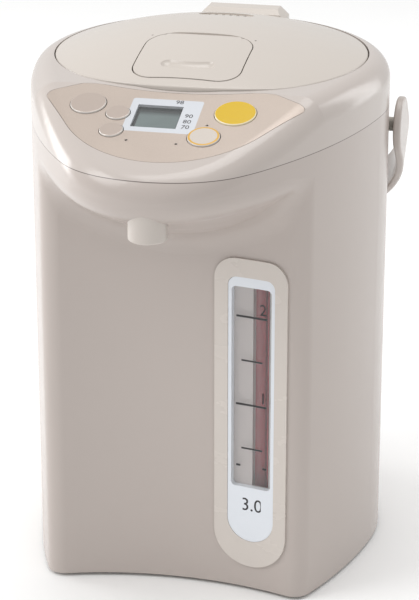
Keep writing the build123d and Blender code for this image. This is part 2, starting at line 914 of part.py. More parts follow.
# ---------------------------------------------------------------- water gauge
trim_face = gauge_outline(gauge_width, gauge_low, gauge_high, gauge_corner, True)
bezel_face = gauge_outline(
    bezel_width - 2 * gauge_fit, bezel_low + gauge_fit, bezel_high - gauge_fit, bezel_corner, True
)
window_face = gauge_outline(window_width, window_low, window_high, window_corner, False)
pane_face = gauge_outline(
    window_width - 2 * gauge_fit,
    window_low + gauge_fit,
    window_high - gauge_fit,
    window_corner,
    False,
)
plate_margin = (plate_width - window_width) / 2
plate_face = gauge_outline(
    plate_width, window_low - plate_margin, window_high + plate_margin, window_corner, False
)
with BuildPart() as gauge_trim:
    add(wall_sheet(trim_face, trim_rise, 0))
    add(wall_sheet(bezel_opening, 2 * trim_rise, 0), mode=Mode.SUBTRACT)
save(gauge_trim.part, "gauge_trim")

with BuildPart() as gauge_bezel:
    add(wall_sheet(bezel_face, bezel_rise, case_wall))
    add(wall_sheet(window_face, 2 * bezel_rise, 2 * case_wall), mode=Mode.SUBTRACT)
save(gauge_bezel.part, "gauge_bezel")

save(wall_sheet(pane_face, pane_rise, pane_thickness - pane_rise), "gauge_window")

with BuildPart() as gauge_plate:
    add(wall_sheet(plate_face, -case_wall, case_wall + plate_thickness))
    with BuildSketch(gauge_plane.offset(-gauge_width)):
        with Locations((plate_slot_shift, (window_low + window_high) / 2)):
            Rectangle(plate_slot, window_high - window_low)
    extrude(amount=2 * gauge_width, mode=Mode.SUBTRACT)
save(gauge_plate.part, "gauge_plate")

# half-sleeve that backs the tube with a coloured band
with BuildPart() as tube_backing:
    with BuildSketch(Plane.XY.offset(window_low - plate_margin)):
        with Locations((tube_x, tube_y)):
            Circle(tube_radius + backing_gap + backing_thickness)
            Circle(tube_radius + backing_gap, mode=Mode.SUBTRACT)
    extrude(amount=window_high - window_low + 2 * plate_margin)
    split(bisect_by=gauge_plane.offset(-tube_depth), keep=Keep.BOTTOM)
save(tube_backing.part, "tube_backing")

# ---------------------------------------------------------------- sight tube and valve
hose_top = pump_outlet_height + hose_bend + 2 * hose_overlap
tube_low = hose_top - hose_overlap
tube_high = valve_low + hose_overlap
with BuildPart() as sight_tube:
    with BuildSketch(Plane.XY.offset(tube_low)):
        with Locations((tube_x, tube_y)):
            Circle(tube_radius)
            Circle(tube_radius - tube_wall, mode=Mode.SUBTRACT)
    extrude(amount=tube_high - tube_low)
save(sight_tube.part, "sight_tube")

with BuildPart() as outlet_hose:
    hose_plane = Plane(origin=(tube_x, 0, 0), x_dir=(0, 1, 0), z_dir=(1, 0, 0))
    with BuildLine(hose_plane) as hose_line:
        FilletPolyline(
            (-pump_reach - pump_radius - gauge_fit, pump_outlet_height),
            (tube_y, pump_outlet_height),
            (tube_y, hose_top),
            radius=hose_bend,
        )
    with BuildSketch(Plane(origin=hose_line.line @ 0, z_dir=hose_line.line % 0)):
        Circle(tube_radius + rubber_wall)
    sweep(path=hose_line.line)
    with BuildPart(mode=Mode.PRIVATE) as hose_bore:
        with BuildSketch(Plane(origin=hose_line.line @ 0, z_dir=hose_line.line % 0)):
            Circle(tube_radius)
        sweep(path=hose_line.line)
    add(hose_bore.part, mode=Mode.SUBTRACT)
save(outlet_hose.part, "outlet_hose")

ball_floor = tube_high + valve_wall
with BuildPart() as tip_over_valve:
    with BuildSketch(Plane.XY.offset(valve_low)):
        with Locations((tube_x, tube_y)):
            Circle(valve_radius)
    extrude(amount=valve_high - valve_low)
    with BuildSketch(Plane.XY.offset(valve_low)):
        with Locations((tube_x, tube_y)):
            Circle(tube_radius)
    extrude(amount=tube_high - valve_low, mode=Mode.SUBTRACT)
    with BuildSketch(Plane.XY.offset(tube_high)):
        with Locations((tube_x, tube_y)):
            Circle(tube_radius - tube_wall)
    extrude(amount=valve_high - tube_high, mode=Mode.SUBTRACT)
    with BuildSketch(Plane.XY.offset(ball_floor)):
        with Locations((tube_x, tube_y)):
            Circle(valve_radius - valve_wall)
    extrude(amount=valve_high - hose_overlap - ball_floor, mode=Mode.SUBTRACT)
    with BuildSketch(Plane.XY.offset(valve_high - hose_overlap / 2)):
        with Locations((tube_x, tube_y)):
            Circle(tube_radius)
    extrude(amount=hose_overlap, mode=Mode.SUBTRACT)
save(tip_over_valve.part, "tip_over_valve")

seat_radius = tube_radius - tube_wall
ball_height = ball_floor + sqrt(ball_radius**2 - seat_radius**2) + ball_gap
with BuildPart() as valve_ball:
    with Locations((tube_x, tube_y, ball_height)):
        Sphere(ball_radius)
save(valve_ball.part, "valve_ball")

# ---------------------------------------------------------------- spout
run_x = -tube_x
run_y = -nozzle_reach - tube_y
run = sqrt(run_x**2 + run_y**2)
spout_plane = Plane(
    origin=(tube_x, tube_y, 0),
    x_dir=(run_x / run, run_y / run, 0),
    z_dir=(run_y / run, -run_x / run, 0),
)
with BuildPart() as spout_pipe:
    with BuildLine(spout_plane) as pipe_line:
        FilletPolyline(
            (0, valve_high - hose_overlap / 2),
            (0, pipe_height),
            (run, pipe_height),
            (run, pipe_end),
            radius=pipe_bend,
        )
    with BuildSketch(Plane(origin=pipe_line.line @ 0, z_dir=pipe_line.line % 0)):
        Circle(tube_radius)
    sweep(path=pipe_line.line)
    with BuildPart(mode=Mode.PRIVATE) as pipe_bore:
        with BuildSketch(Plane(origin=pipe_line.line @ 0, z_dir=pipe_line.line % 0)):
            Circle(tube_radius - tube_wall)
        sweep(path=pipe_line.line)
    add(pipe_bore.part, mode=Mode.SUBTRACT)
save(spout_pipe.part, "spout_pipe")

with BuildPart() as spout_nozzle:
    with BuildSketch(Plane.XY.offset(nozzle_low)):
        with Locations((0, -nozzle_reach)):
            Circle(nozzle_radius)
    extrude(amount=nozzle_high - nozzle_low)
    fillet(spout_nozzle.edges().group_by(Axis.Z)[0], nozzle_edge_radius)
    with BuildSketch(Plane.XY.offset(nozzle_low)):
        with Locations((0, -nozzle_reach)):
            Circle(nozzle_radius - nozzle_wall)
    extrude(amount=nozzle_high - nozzle_low - nozzle_wall, mode=Mode.SUBTRACT)
    with BuildSketch(Plane.XY.offset(nozzle_low)):
        with Locations((0, -nozzle_reach)):
            Circle(tube_radius)
    extrude(amount=nozzle_high - nozzle_low, mode=Mode.SUBTRACT)
save(spout_nozzle.part, "spout_nozzle")

# ---------------------------------------------------------------- container and heating
stub_hole = stub_radius - container_wall
with BuildPart() as inner_container:
    add(
        turned(
            (
                (0, container_floor - container_wall),
                (container_outer, container_floor - container_wall),
                (container_outer, flange_height),
                (container_flange_radius, flange_height),
                (container_flange_radius, flange_top),
                (container_radius, flange_top),
                (container_radius, container_floor),
                (0, container_floor),
            )
        )
    )
    outer_corner = inner_container.edges().filter_by(GeomType.CIRCLE).group_by(Axis.Z)[0]
    fillet(outer_corner, container_corner + container_wall)
    floor_edge = inner_container.edges().filter_by(
        lambda e: abs(e.center().Z - container_floor) < gauge_fit and e.radius > heater_radius
    )
    fillet(floor_edge, container_corner)
    with BuildSketch(Plane.XY.offset(stub_base)):
        with Locations((pump_x, pump_y)):
            Circle(stub_radius)
    extrude(amount=container_floor - stub_base)
    with BuildSketch(Plane.XY.offset(stub_base)):
        with Locations((pump_x, pump_y)):
            Circle(stub_hole)
    extrude(amount=container_floor - stub_base, mode=Mode.SUBTRACT)
save(inner_container.part, "inner_container")

container_seal = turned(
    (
        (container_outer + ledge_gap, ledge_top),
        (container_flange_radius, ledge_top),
        (container_flange_radius, flange_height),
        (container_outer + ledge_gap, flange_height),
    )
)
save(container_seal, "container_seal")

insulation_sleeve = turned(
    (
        (container_outer + sleeve_gap, sleeve_base),
        (sleeve_radius, sleeve_base),
        (sleeve_radius, sleeve_top),
        (container_outer + sleeve_gap, sleeve_top),
    )
)
save(insulation_sleeve, "insulation_sleeve")

heater_top = container_floor - container_wall
with BuildPart() as plate_heater:
    with BuildSketch(Plane.XY.offset(heater_top - heater_thickness)):
        Circle(heater_radius)
        Circle(heater_bore, mode=Mode.SUBTRACT)
        with Locations((pump_x, pump_y)):
            Circle(stub_radius + rubber_wall + heater_thickness, mode=Mode.SUBTRACT)
    extrude(amount=heater_thickness)
save(plate_heater.part, "plate_heater")

with BuildPart() as thermistor:
    with BuildSketch(Plane.XY.offset(heater_top - thermistor_height)):
        Circle(thermistor_radius)
    extrude(amount=thermistor_height)
    chamfer(thermistor.edges().group_by(Axis.Z)[0], container_wall)
save(thermistor.part, "thermistor")

fuse_plane = Plane.YZ.offset(-fuse_length / 2)
with BuildPart() as thermal_fuse:
    with BuildSketch(fuse_plane):
        with Locations((fuse_reach, heater_top - heater_thickness - fuse_radius)):
            Circle(fuse_radius)
    extrude(amount=fuse_length)
save(thermal_fuse.part, "thermal_fuse")

with BuildPart() as heat_shield:
    add(
        turned(
            (
                (0, shield_height),
                (shield_radius, shield_height),
                (shield_radius, shield_height + shield_rim),
                (shield_radius - shield_thickness, shield_height + shield_rim),
                (shield_radius - shield_thickness, shield_height + shield_thickness),
                (0, shield_height + shield_thickness),
            )
        )
    )
    with BuildSketch(Plane.XY.offset(shield_height)):
        with Locations((pump_x, pump_y)):
            Circle(stub_radius + rubber_wall + ledge_gap)
    extrude(amount=shield_rim, mode=Mode.SUBTRACT)
save(heat_shield.part, "heat_shield")

with BuildPart() as strainer:
    with BuildSketch(Plane.XY.offset(container_floor)):
        with Locations((pump_x, pump_y)):
            Circle(strainer_radius)
            Circle(strainer_radius - strainer_wall, mode=Mode.SUBTRACT)
    extrude(amount=strainer_height)
    with BuildSketch(Plane.XY.offset(container_floor + strainer_height - strainer_wall)):
        with Locations((pump_x, pump_y)):
            Circle(strainer_radius)
            with GridLocations(3 * strainer_bar, 3 * strainer_bar, 3, 3):
                Rectangle(2 * strainer_bar, 2 * strainer_bar, mode=Mode.SUBTRACT)
    extrude(amount=strainer_wall)
save(strainer.part, "strainer")

# ---------------------------------------------------------------- pump
with BuildPart() as suction_sleeve:
    with BuildSketch(Plane.XY.offset(pump_high + rubber_wall)):
        with Locations((pump_x, pump_y)):
            Circle(stub_radius + rubber_wall)
            Circle(stub_radius, mode=Mode.SUBTRACT)
    extrude(amount=heater_top - pump_high - 2 * rubber_wall)
save(suction_sleeve.part, "suction_sleeve")

chamber_floor = pump_low + pump_wall
with BuildPart() as pump_housing:
    with BuildSketch(Plane.XY.offset(pump_low)):
        with Locations((pump_x, pump_y)):
            Circle(pump_radius)
    extrude(amount=pump_high - pump_low)
    with BuildSketch(Plane.XY.offset(pump_high)):
        with Locations((pump_x, pump_y)):
            Circle(pump_inlet_radius)
    extrude(amount=pump_inlet_top - pump_high)
    with BuildSketch(Plane.XZ.offset(pump_reach)):
        with Locations((tube_x, pump_outlet_height)):
            Circle(tube_radius)
    extrude(amount=pump_outlet_reach - pump_reach)
    with BuildSketch(Plane.XY.offset(pump_low + pump_wall)):
        with Locations((pump_x, pump_y)):
            Circle(pump_radius - pump_wall)
    extrude(amount=pump_high - pump_low - 2 * pump_wall, mode=Mode.SUBTRACT)
    with BuildSketch(Plane.XY.offset(pump_high - 2 * pump_wall)):
        with Locations((pump_x, pump_y)):
            Circle(pump_inlet_radius - pump_wall)
    extrude(amount=pump_inlet_top - pump_high + 2 * pump_wall, mode=Mode.SUBTRACT)
    with BuildSketch(Plane.XZ.offset(pump_reach + pump_radius / 2)):
        with Locations((tube_x, pump_outlet_height)):
            Circle(tube_radius - tube_wall)
    extrude(amount=pump_outlet_reach - pump_reach, mode=Mode.SUBTRACT)
    # fixed pin that the impeller turns on
    with BuildSketch(Plane.XY.offset(pump_low)):
        with Locations((pump_x, pump_y)):
            Circle(impeller_pin_radius)
    extrude(amount=pump_wall + impeller_gap + impeller_disc + impeller_vane_height)
save(pump_housing.part, "pump_housing")

impeller_low = chamber_floor + impeller_gap
vane_middle = (impeller_hub_radius + impeller_radius) / 2 - impeller_vane_bite
with BuildPart() as pump_impeller:
    with BuildSketch(Plane.XY.offset(impeller_low)):
        with Locations((pump_x, pump_y)):
            Circle(impeller_radius)
    extrude(amount=impeller_disc)
    with BuildSketch(Plane.XY.offset(impeller_low + impeller_disc)):
        with Locations((pump_x, pump_y)):
            Circle(impeller_hub_radius)
        with Locations((pump_x, pump_y)):
            with PolarLocations(vane_middle, impeller_vanes):
                Rectangle(impeller_radius - impeller_hub_radius, impeller_vane_width)
    extrude(amount=impeller_vane_height)
    with BuildSketch(Plane.XY.offset(impeller_low)):
        with Locations((pump_x, pump_y)):
            Circle(impeller_pin_radius + shaft_gap)
    extrude(amount=far, mode=Mode.SUBTRACT)
save(pump_impeller.part, "pump_impeller")

magnet_top = pump_low - magnet_gap
magnet_low = magnet_top - magnet_height
with BuildPart() as drive_rotor:
    with BuildSketch(Plane.XY.offset(magnet_low)):
        with Locations((pump_x, pump_y)):
            Circle(magnet_radius)
    extrude(amount=magnet_height)
    with BuildSketch(Plane.XY.offset(motor_high - motor_shaft_bite)):
        with Locations((pump_x, pump_y)):
            Circle(motor_shaft_radius)
    extrude(amount=magnet_low - motor_high + motor_shaft_bite)
save(drive_rotor.part, "drive_rotor")

with BuildPart() as pump_motor:
    with BuildSketch(Plane.XY.offset(motor_low)):
        with Locations((pump_x, pump_y)):
            Circle(motor_radius)
    extrude(amount=motor_high - motor_low)
    fillet(pump_motor.edges().group_by(Axis.Z)[0], motor_shaft_radius)
    with BuildSketch(Plane.XY.offset(motor_high - motor_shaft_bite - magnet_gap)):
        with Locations((pump_x, pump_y)):
            Circle(motor_shaft_radius + shaft_gap)
    extrude(amount=motor_high, mode=Mode.SUBTRACT)
save(pump_motor.part, "pump_motor")

bracket_low = motor_high - bracket_floor
with BuildPart() as pump_bracket:
    with BuildSketch(Plane.XY.offset(bracket_low)):
        with Locations((pump_x, pump_y)):
            Circle(pump_radius)
    extrude(amount=pump_low - bracket_low)
    with BuildSketch(Plane.XY.offset(motor_high)):
        with Locations((pump_x, pump_y)):
            Circle(pump_radius - bracket_wall)
    extrude(amount=pump_low - motor_high, mode=Mode.SUBTRACT)
    with BuildSketch(Plane.XY.offset(bracket_low)):
        with Locations((pump_x, pump_y)):
            Circle(motor_radius)
    extrude(amount=bracket_floor, mode=Mode.SUBTRACT)
save(pump_bracket.part, "pump_bracket")

# ---------------------------------------------------------------- lid
block_half = hinge_half_width + hinge_side_gap / 2
lid_boss_places = [
    (lid_boss_circle * cos(radians(angle)), lid_boss_circle * sin(radians(angle)))
    for angle in (45.0, 135.0, 225.0, 315.0)
]
tongue_screws = (
    (hinge_tongue_half - 2 * lid_boss_radius, hinge_tongue_front + 2 * lid_boss_radius),
    (2 * lid_boss_radius - hinge_tongue_half, hinge_tongue_front + 2 * lid_boss_radius),
)
tongue_base = hinge_height - hinge_tongue_thickness / 2
plate_flange_top = plate_flange_base + plate_wall
skirt_core = dome_cap(lid_outline(-lid_wall), lid_skirt_base - lid_wall, lid_wall)
lever_tub = dome_cap(lever_outline(lever_gap + tub_wall, lever_front_gap + tub_wall), tub_floor - tub_wall, 0)
lever_hollow = dome_cap(lever_outline(lever_gap, lever_front_gap), tub_floor, -lid_wall)
fin_reach = latch_pin_reach + fin_margin + latch_pin_radius + cam_gap
with BuildPart() as lid_cover:
    add(dome_cap(lid_outline(0), lid_skirt_base, 0))
    fillet(lid_cover.faces().filter_by(GeomType.SPHERE)[0].edges(), lid_edge_radius)
    add(skirt_core, mode=Mode.SUBTRACT)
    add(lever_tub)
    # bosses for the inner plate's screws and the hinge's tongue
    with BuildPart(mode=Mode.PRIVATE) as lid_bosses:
        with BuildSketch(Plane.XY.offset(plate_flange_top)):
            with Locations(*lid_boss_places):
                Circle(lid_boss_radius)
        extrude(amount=dome_top - plate_flange_top)
        with BuildSketch(Plane.XY.offset(tongue_base + hinge_tongue_thickness)):
            with Locations(*tongue_screws):
                Circle(lid_boss_radius)
        extrude(amount=dome_top - tongue_base)
        with Locations((0, 0, dome_centre)):
            Sphere(dome_radius - lid_wall / 2, rotation=(90, 0, 0), mode=Mode.INTERSECT)
    add(lid_bosses.part)
    # guide rails of the latch
    with BuildSketch(Plane.XY.offset(latch_base)):
        rail_y = -(latch_bridge_reach + lever_front_reach) / 2
        for side in (-1, 1):
            with Locations((side * (latch_half_width + latch_gap + tub_wall / 2), rail_y)):
                Rectangle(tub_wall, lever_front_reach - latch_bridge_reach)
    extrude(amount=tub_floor - tub_wall / 2 - latch_base)
    add(lever_hollow, mode=Mode.SUBTRACT)
    # way for the lever's fin through the tub's floor
    with BuildSketch(Plane.XY.offset(tub_floor - 2 * tub_wall)):
        with Locations((0, -(fin_reach + 2 * lever_barrel_radius + lever_axis_reach) / 2)):
            Rectangle(
                2 * (fin_half_width + fin_side_gap),
                fin_reach - lever_axis_reach + 6 * lever_barrel_radius,
            )
    extrude(amount=3 * tub_wall, mode=Mode.SUBTRACT)
    # way for the latch through the skirt
    with BuildSketch(Plane.XY.offset(lid_skirt_base)):
        with Locations((0, -lever_front_reach - latch_half_width)):
            Rectangle(2 * (latch_half_width + latch_gap), 2 * latch_half_width)
    extrude(amount=latch_base + latch_thickness + latch_gap - lid_skirt_base, mode=Mode.SUBTRACT)
    # cut-out for the hinge block
    with BuildSketch(Plane.XY.offset(lid_skirt_base)):
        with Locations((0, hinge_block_front + far / 2 - hinge_block_slope)):
            Rectangle(2 * hinge_half_width, far)
    extrude(amount=far, mode=Mode.SUBTRACT)
    # vent, lever pin and screw bores
    with BuildSketch(Plane.XY.offset(tub_floor)):
        add(vent_outline(0))
    extrude(amount=far, mode=Mode.SUBTRACT)
    with BuildSketch(Plane.YZ):
        with Locations((-lever_axis_reach, lever_axis_height)):
            Circle(lever_pin_radius)
    extrude(amount=lever_half_width, both=True, mode=Mode.SUBTRACT)
    with BuildSketch(Plane.XY.offset(plate_flange_top)):
        with Locations(*lid_boss_places):
            Circle(screw_radius)
    extrude(amount=screw_bite, mode=Mode.SUBTRACT)
    with BuildSketch(Plane.XY.offset(tongue_base)):
        with Locations(*tongue_screws):
            Circle(screw_radius)
    extrude(amount=screw_bite, mode=Mode.SUBTRACT)
save(lid_cover.part, "lid_cover")

# hinge block with its barrel and the tongue under the lid
dome_edge = dome_centre + sqrt(dome_radius**2 - (hinge_block_front - hinge_block_slope) ** 2)
with BuildPart() as hinge_block:
    with BuildSketch(Plane.YZ.offset(-hinge_half_width)):
        with BuildLine():
            Polyline(
                (hinge_block_front - hinge_block_slope, tongue_base),
                (hinge_block_front - hinge_block_slope, dome_edge),
                (hinge_block_front, hinge_block_top),
                (hinge_block_back, hinge_block_top),
                (hinge_reach + hinge_barrel_radius, hinge_height),
                (hinge_reach, tongue_base),
                close=True,
            )
        make_face()
        with Locations((hinge_reach, hinge_height)):
            Circle(hinge_barrel_radius)
    extrude(amount=2 * hinge_half_width)
    top_face = hinge_block.faces().sort_by(Axis.Z)[-1]
    side_edges = top_face.edges().filter_by(Axis.Y)
    chamfer(side_edges, hinge_block_slope)
    with BuildSketch(Plane.XY.offset(tongue_base)):
        with Locations((0, (hinge_tongue_front + hinge_reach) / 2)):
            Rectangle(2 * hinge_tongue_half, hinge_reach - hinge_tongue_front)
    extrude(amount=hinge_tongue_thickness)
    with BuildSketch(Plane.XY.offset(tongue_base)):
        with Locations(*tongue_screws):
            Circle(screw_radius)
    extrude(amount=hinge_tongue_thickness, mode=Mode.SUBTRACT)
    with BuildSketch(Plane.YZ):
        with Locations((hinge_reach, hinge_height)):
            Circle(hinge_pin_radius + shaft_gap)
    extrude(amount=far, both=True, mode=Mode.SUBTRACT)
save(hinge_block.part, "hinge_block")

pin_half = notch_half + hinge_pin_bite
save(
    rod((-pin_half, hinge_reach, hinge_height), (1, 0, 0), hinge_pin_radius, 2 * pin_half),
    "lid_hinge_pin",
)

# vent cap
with BuildPart() as steam_vent_cap:
    add(dome_cap(vent_outline(0), tub_floor, vent_sink))
    add(dome_cap(vent_outline(lid_wall), tub_floor, vent_sink + vent_plate), mode=Mode.SUBTRACT)
    with BuildSketch(Plane.XY.offset(tub_floor)):
        with Locations((0, vent_reach)):
            with GridLocations(vent_slot_pitch, 0, vent_slot_count, 1):
                SlotOverall(vent_slot_length, vent_slot_width, rotation=90)
    extrude(amount=far, mode=Mode.SUBTRACT)
save(steam_vent_cap.part, "steam_vent_cap")

# steam chamber between the inner plate and the vent
with BuildPart() as steam_chamber:
    add(dome_cap(vent_outline(steam_wall), plug_floor + plate_wall, lid_wall))
    with BuildSketch(Plane.XY.offset(plug_floor)):
        add(vent_outline(0))
    extrude(amount=far, mode=Mode.SUBTRACT)
save(steam_chamber.part, "steam_chamber")

with BuildPart() as lid_inner_plate:
    add(
        turned(
            (
                (0, plug_floor),
                (plug_radius, plug_floor),
                (plug_radius, plate_flange_base),
                (plate_flange_radius, plate_flange_base),
                (plate_flange_radius, lid_skirt_base),
                (plate_flange_radius - plate_wall, lid_skirt_base),
                (plate_flange_radius - plate_wall, plate_flange_top),
                (plug_radius - plate_wall, plate_flange_top),
                (plug_radius - plate_wall, plug_floor + plate_wall),
                (0, plug_floor + plate_wall),
            )
        )
    )
    with BuildSketch(Plane.XY.offset(plug_floor)):
        add(vent_outline(-steam_wall))
    extrude(amount=2 * plate_wall, mode=Mode.SUBTRACT)
    with BuildSketch(Plane.XY.offset(plate_flange_base)):
        with Locations(*lid_boss_places):
            Circle(screw_radius)
    extrude(amount=plate_wall, mode=Mode.SUBTRACT)
save(lid_inner_plate.part, "lid_inner_plate")

gasket_base = plate_flange_base - gasket_thickness
with BuildPart() as lid_gasket:
    add(
        turned(
            (
                (plug_radius, gasket_base),
                (gasket_radius - gasket_lip, gasket_base),
                (gasket_radius, gasket_base + gasket_lip),
                (gasket_radius, plate_flange_base),
                (plug_radius, plate_flange_base),
            )
        )
    )
    with BuildSketch(Plane.XY.offset(gasket_base)):
        with Locations(*lid_boss_places):
            Circle(screw_head_radius)
    extrude(amount=gasket_thickness, mode=Mode.SUBTRACT)
save(lid_gasket.part, "lid_gasket")

with BuildPart() as lid_screws:
    for x, y in lid_boss_places:
        add(screw((x, y, plate_flange_base), (0, 0, 1), screw_head_radius, plate_wall + screw_bite))
    for x, y in tongue_screws:
        add(screw((x, y, tongue_base), (0, 0, 1), screw_head_radius, screw_bite))
save(lid_screws.part, "lid_screws")

cap_base = plug_floor - steam_cap_height
with BuildPart() as steam_inlet_cap:
    with BuildSketch(Plane.XY.offset(cap_base)):
        add(vent_outline(steam_cap_margin))
    extrude(amount=steam_cap_height)
    fillet(steam_inlet_cap.edges().group_by(Axis.Z)[0], plate_wall / 2)
    with BuildSketch(Plane.XY.offset(cap_base + plate_wall)):
        add(vent_outline(steam_cap_margin - plate_wall))
    extrude(amount=steam_cap_height, mode=Mode.SUBTRACT)
    with BuildSketch(Plane.XZ.offset(-vent_reach)):
        with Locations((0, plug_floor)):
            with GridLocations(vent_slot_pitch, 0, vent_slot_count, 1):
                Rectangle(vent_slot_width, 2 * (steam_cap_height - 2 * plate_wall))
    extrude(amount=vent_width, both=True, mode=Mode.SUBTRACT)
save(steam_inlet_cap.part, "steam_inlet_cap")

# ---------------------------------------------------------------- lever and latch
def in_lever_frame(angle):
    """Where the latch's pin lies in the resting lever's coordinates, at a lever angle."""
    y = lever_axis_reach - latch_pin_reach + latch_travel * angle / lever_angle
    z = latch_pin_height - lever_axis_height
    turn = radians(angle)
    return (
        -lever_axis_reach + y * cos(turn) - z * sin(turn),
        lever_axis_height + y * sin(turn) + z * cos(turn),
    )


cam_start = in_lever_frame(0)
cam_middle = in_lever_frame(lever_angle / 2)
cam_end = in_lever_frame(lever_angle)
cam_arc = ThreePointArc(cam_start, cam_middle, cam_end)
cam_half = latch_pin_radius + cam_gap
fin_half = cam_half + fin_margin
lever_tip_height = dome_centre + sqrt(dome_radius**2 - lever_front_reach**2)
lever_swing = sqrt(
    (lever_front_reach - lever_axis_reach) ** 2 + (lever_axis_height - lever_tip_height) ** 2
)
with BuildPart() as lever_barrel:
    with BuildSketch(Plane.YZ.offset(-lever_barrel_half)):
        with Locations((-lever_axis_reach, lever_axis_height)):
            Circle(lever_barrel_radius)
    extrude(amount=2 * lever_barrel_half)
    add(dome_cap(lever_outline(0, 0), tub_floor, 0), mode=Mode.INTERSECT)
with BuildPart() as lever_fin:
    with BuildSketch(Plane.YZ.offset(-fin_half_width)):
        SlotArc(arc=cam_arc, height=2 * fin_half)
        with BuildLine():
            Polyline(
                (cam_start[0] - fin_half, cam_start[1]),
                (cam_start[0] - fin_half, dome_top - lid_wall),
                (cam_end[0] + fin_half, dome_top - lid_wall),
                (cam_end[0] + fin_half, cam_end[1]),
                cam_end,
                cam_start,
                close=True,
            )
        make_face()
    extrude(amount=2 * fin_half_width)
    with Locations((0, 0, dome_centre)):
        Sphere(dome_radius - lever_thickness / 2, rotation=(90, 0, 0), mode=Mode.INTERSECT)
    with BuildSketch(Plane.YZ.offset(-fin_half_width)):
        SlotArc(arc=cam_arc, height=2 * cam_half)
    extrude(amount=2 * fin_half_width, mode=Mode.SUBTRACT)
with BuildPart() as finger_groove:
    groove_height = (
        dome_centre
        + sqrt(dome_radius**2 - (lever_axis_reach + groove_swing) ** 2)
        + groove_radius
        - groove_depth
    )
    groove_turn = radians(groove_half_angle)
    groove_plane = Plane(
        origin=(0, -lever_axis_reach, 0),
        x_dir=(-sin(groove_turn), -cos(groove_turn), 0),
        z_dir=(-cos(groove_turn), sin(groove_turn), 0),
    )
    with BuildSketch(groove_plane):
        with Locations((groove_swing, groove_height)):
            Circle(groove_radius)
    groove_axis = Axis((0, -lever_axis_reach, 0), (0, 0, 1))
    revolve(axis=groove_axis, revolution_arc=2 * groove_half_angle)
    for side in (-1, 1):
        turn = radians(side * groove_half_angle)
        with Locations(
            (groove_swing * sin(turn), -lever_axis_reach - groove_swing * cos(turn), groove_height)
        ):
            Sphere(groove_radius)
with BuildPart() as lid_lever:
    add(dome_cap(lever_outline(0, 0), tub_floor, 0))
    with Locations((0, 0, dome_centre)):
        Sphere(dome_radius - lever_thickness, rotation=(90, 0, 0), mode=Mode.SUBTRACT)
    split(bisect_by=Plane.XZ.offset(lever_axis_reach), keep=Keep.TOP)
    add(lever_barrel.part)
    with BuildSketch(Plane.YZ.offset(-lever_half_width)):
        with Locations((-lever_axis_reach, lever_axis_height)):
            Circle(lever_swing)
    extrude(amount=2 * lever_half_width, mode=Mode.INTERSECT)
    add(lever_fin.part)
    add(finger_groove.part, mode=Mode.SUBTRACT)
    with BuildSketch(Plane.YZ):
        with Locations((-lever_axis_reach, lever_axis_height)):
            Circle(lever_pin_radius + shaft_gap)
    extrude(amount=lever_half_width, both=True, mode=Mode.SUBTRACT)
save(lid_lever.part, "lid_lever")

lever_pin_half = lever_barrel_half + lever_gap + 3 * tub_wall / 2
save(
    rod(
        (-lever_pin_half, -lever_axis_reach, lever_axis_height),
        (1, 0, 0),
        lever_pin_radius,
        2 * lever_pin_half,
    ),
    "lever_pin",
)

cheek_inner = fin_half_width + fin_side_gap
cheek_top = tub_floor - tub_wall - ledge_gap
with BuildPart() as lid_latch:
    with BuildSketch(Plane.XY.offset(latch_base)):
        with Locations((0, -(latch_tip_reach + latch_bridge_reach) / 2)):
            Rectangle(2 * latch_half_width, latch_tip_reach - latch_bridge_reach)
        with Locations((0, -(latch_bridge_reach + latch_back_reach) / 2)):
            Rectangle(2 * (cheek_inner + latch_cheek), latch_bridge_reach - latch_back_reach)
            Rectangle(2 * cheek_inner, latch_bridge_reach - latch_back_reach, mode=Mode.SUBTRACT)
    extrude(amount=latch_thickness)
    with BuildSketch(Plane.XY.offset(latch_base)):
        with Locations((0, -(latch_bridge_reach + latch_back_reach) / 2)):
            Rectangle(2 * (cheek_inner + latch_cheek), latch_bridge_reach - latch_back_reach)
            Rectangle(2 * cheek_inner, latch_bridge_reach - latch_back_reach, mode=Mode.SUBTRACT)
    extrude(amount=cheek_top - latch_base)
    nose = lid_latch.edges().filter_by(Axis.X).sort_by(Axis.Y)[0:2].sort_by(Axis.Z)[0]
    chamfer(nose, latch_thickness / 2)
    with BuildSketch(Plane.YZ.offset(-cheek_inner - latch_cheek)):
        with Locations((-latch_pin_reach, latch_pin_height)):
            Circle(latch_pin_radius)
    extrude(amount=2 * (cheek_inner + latch_cheek))
save(lid_latch.part, "lid_latch")

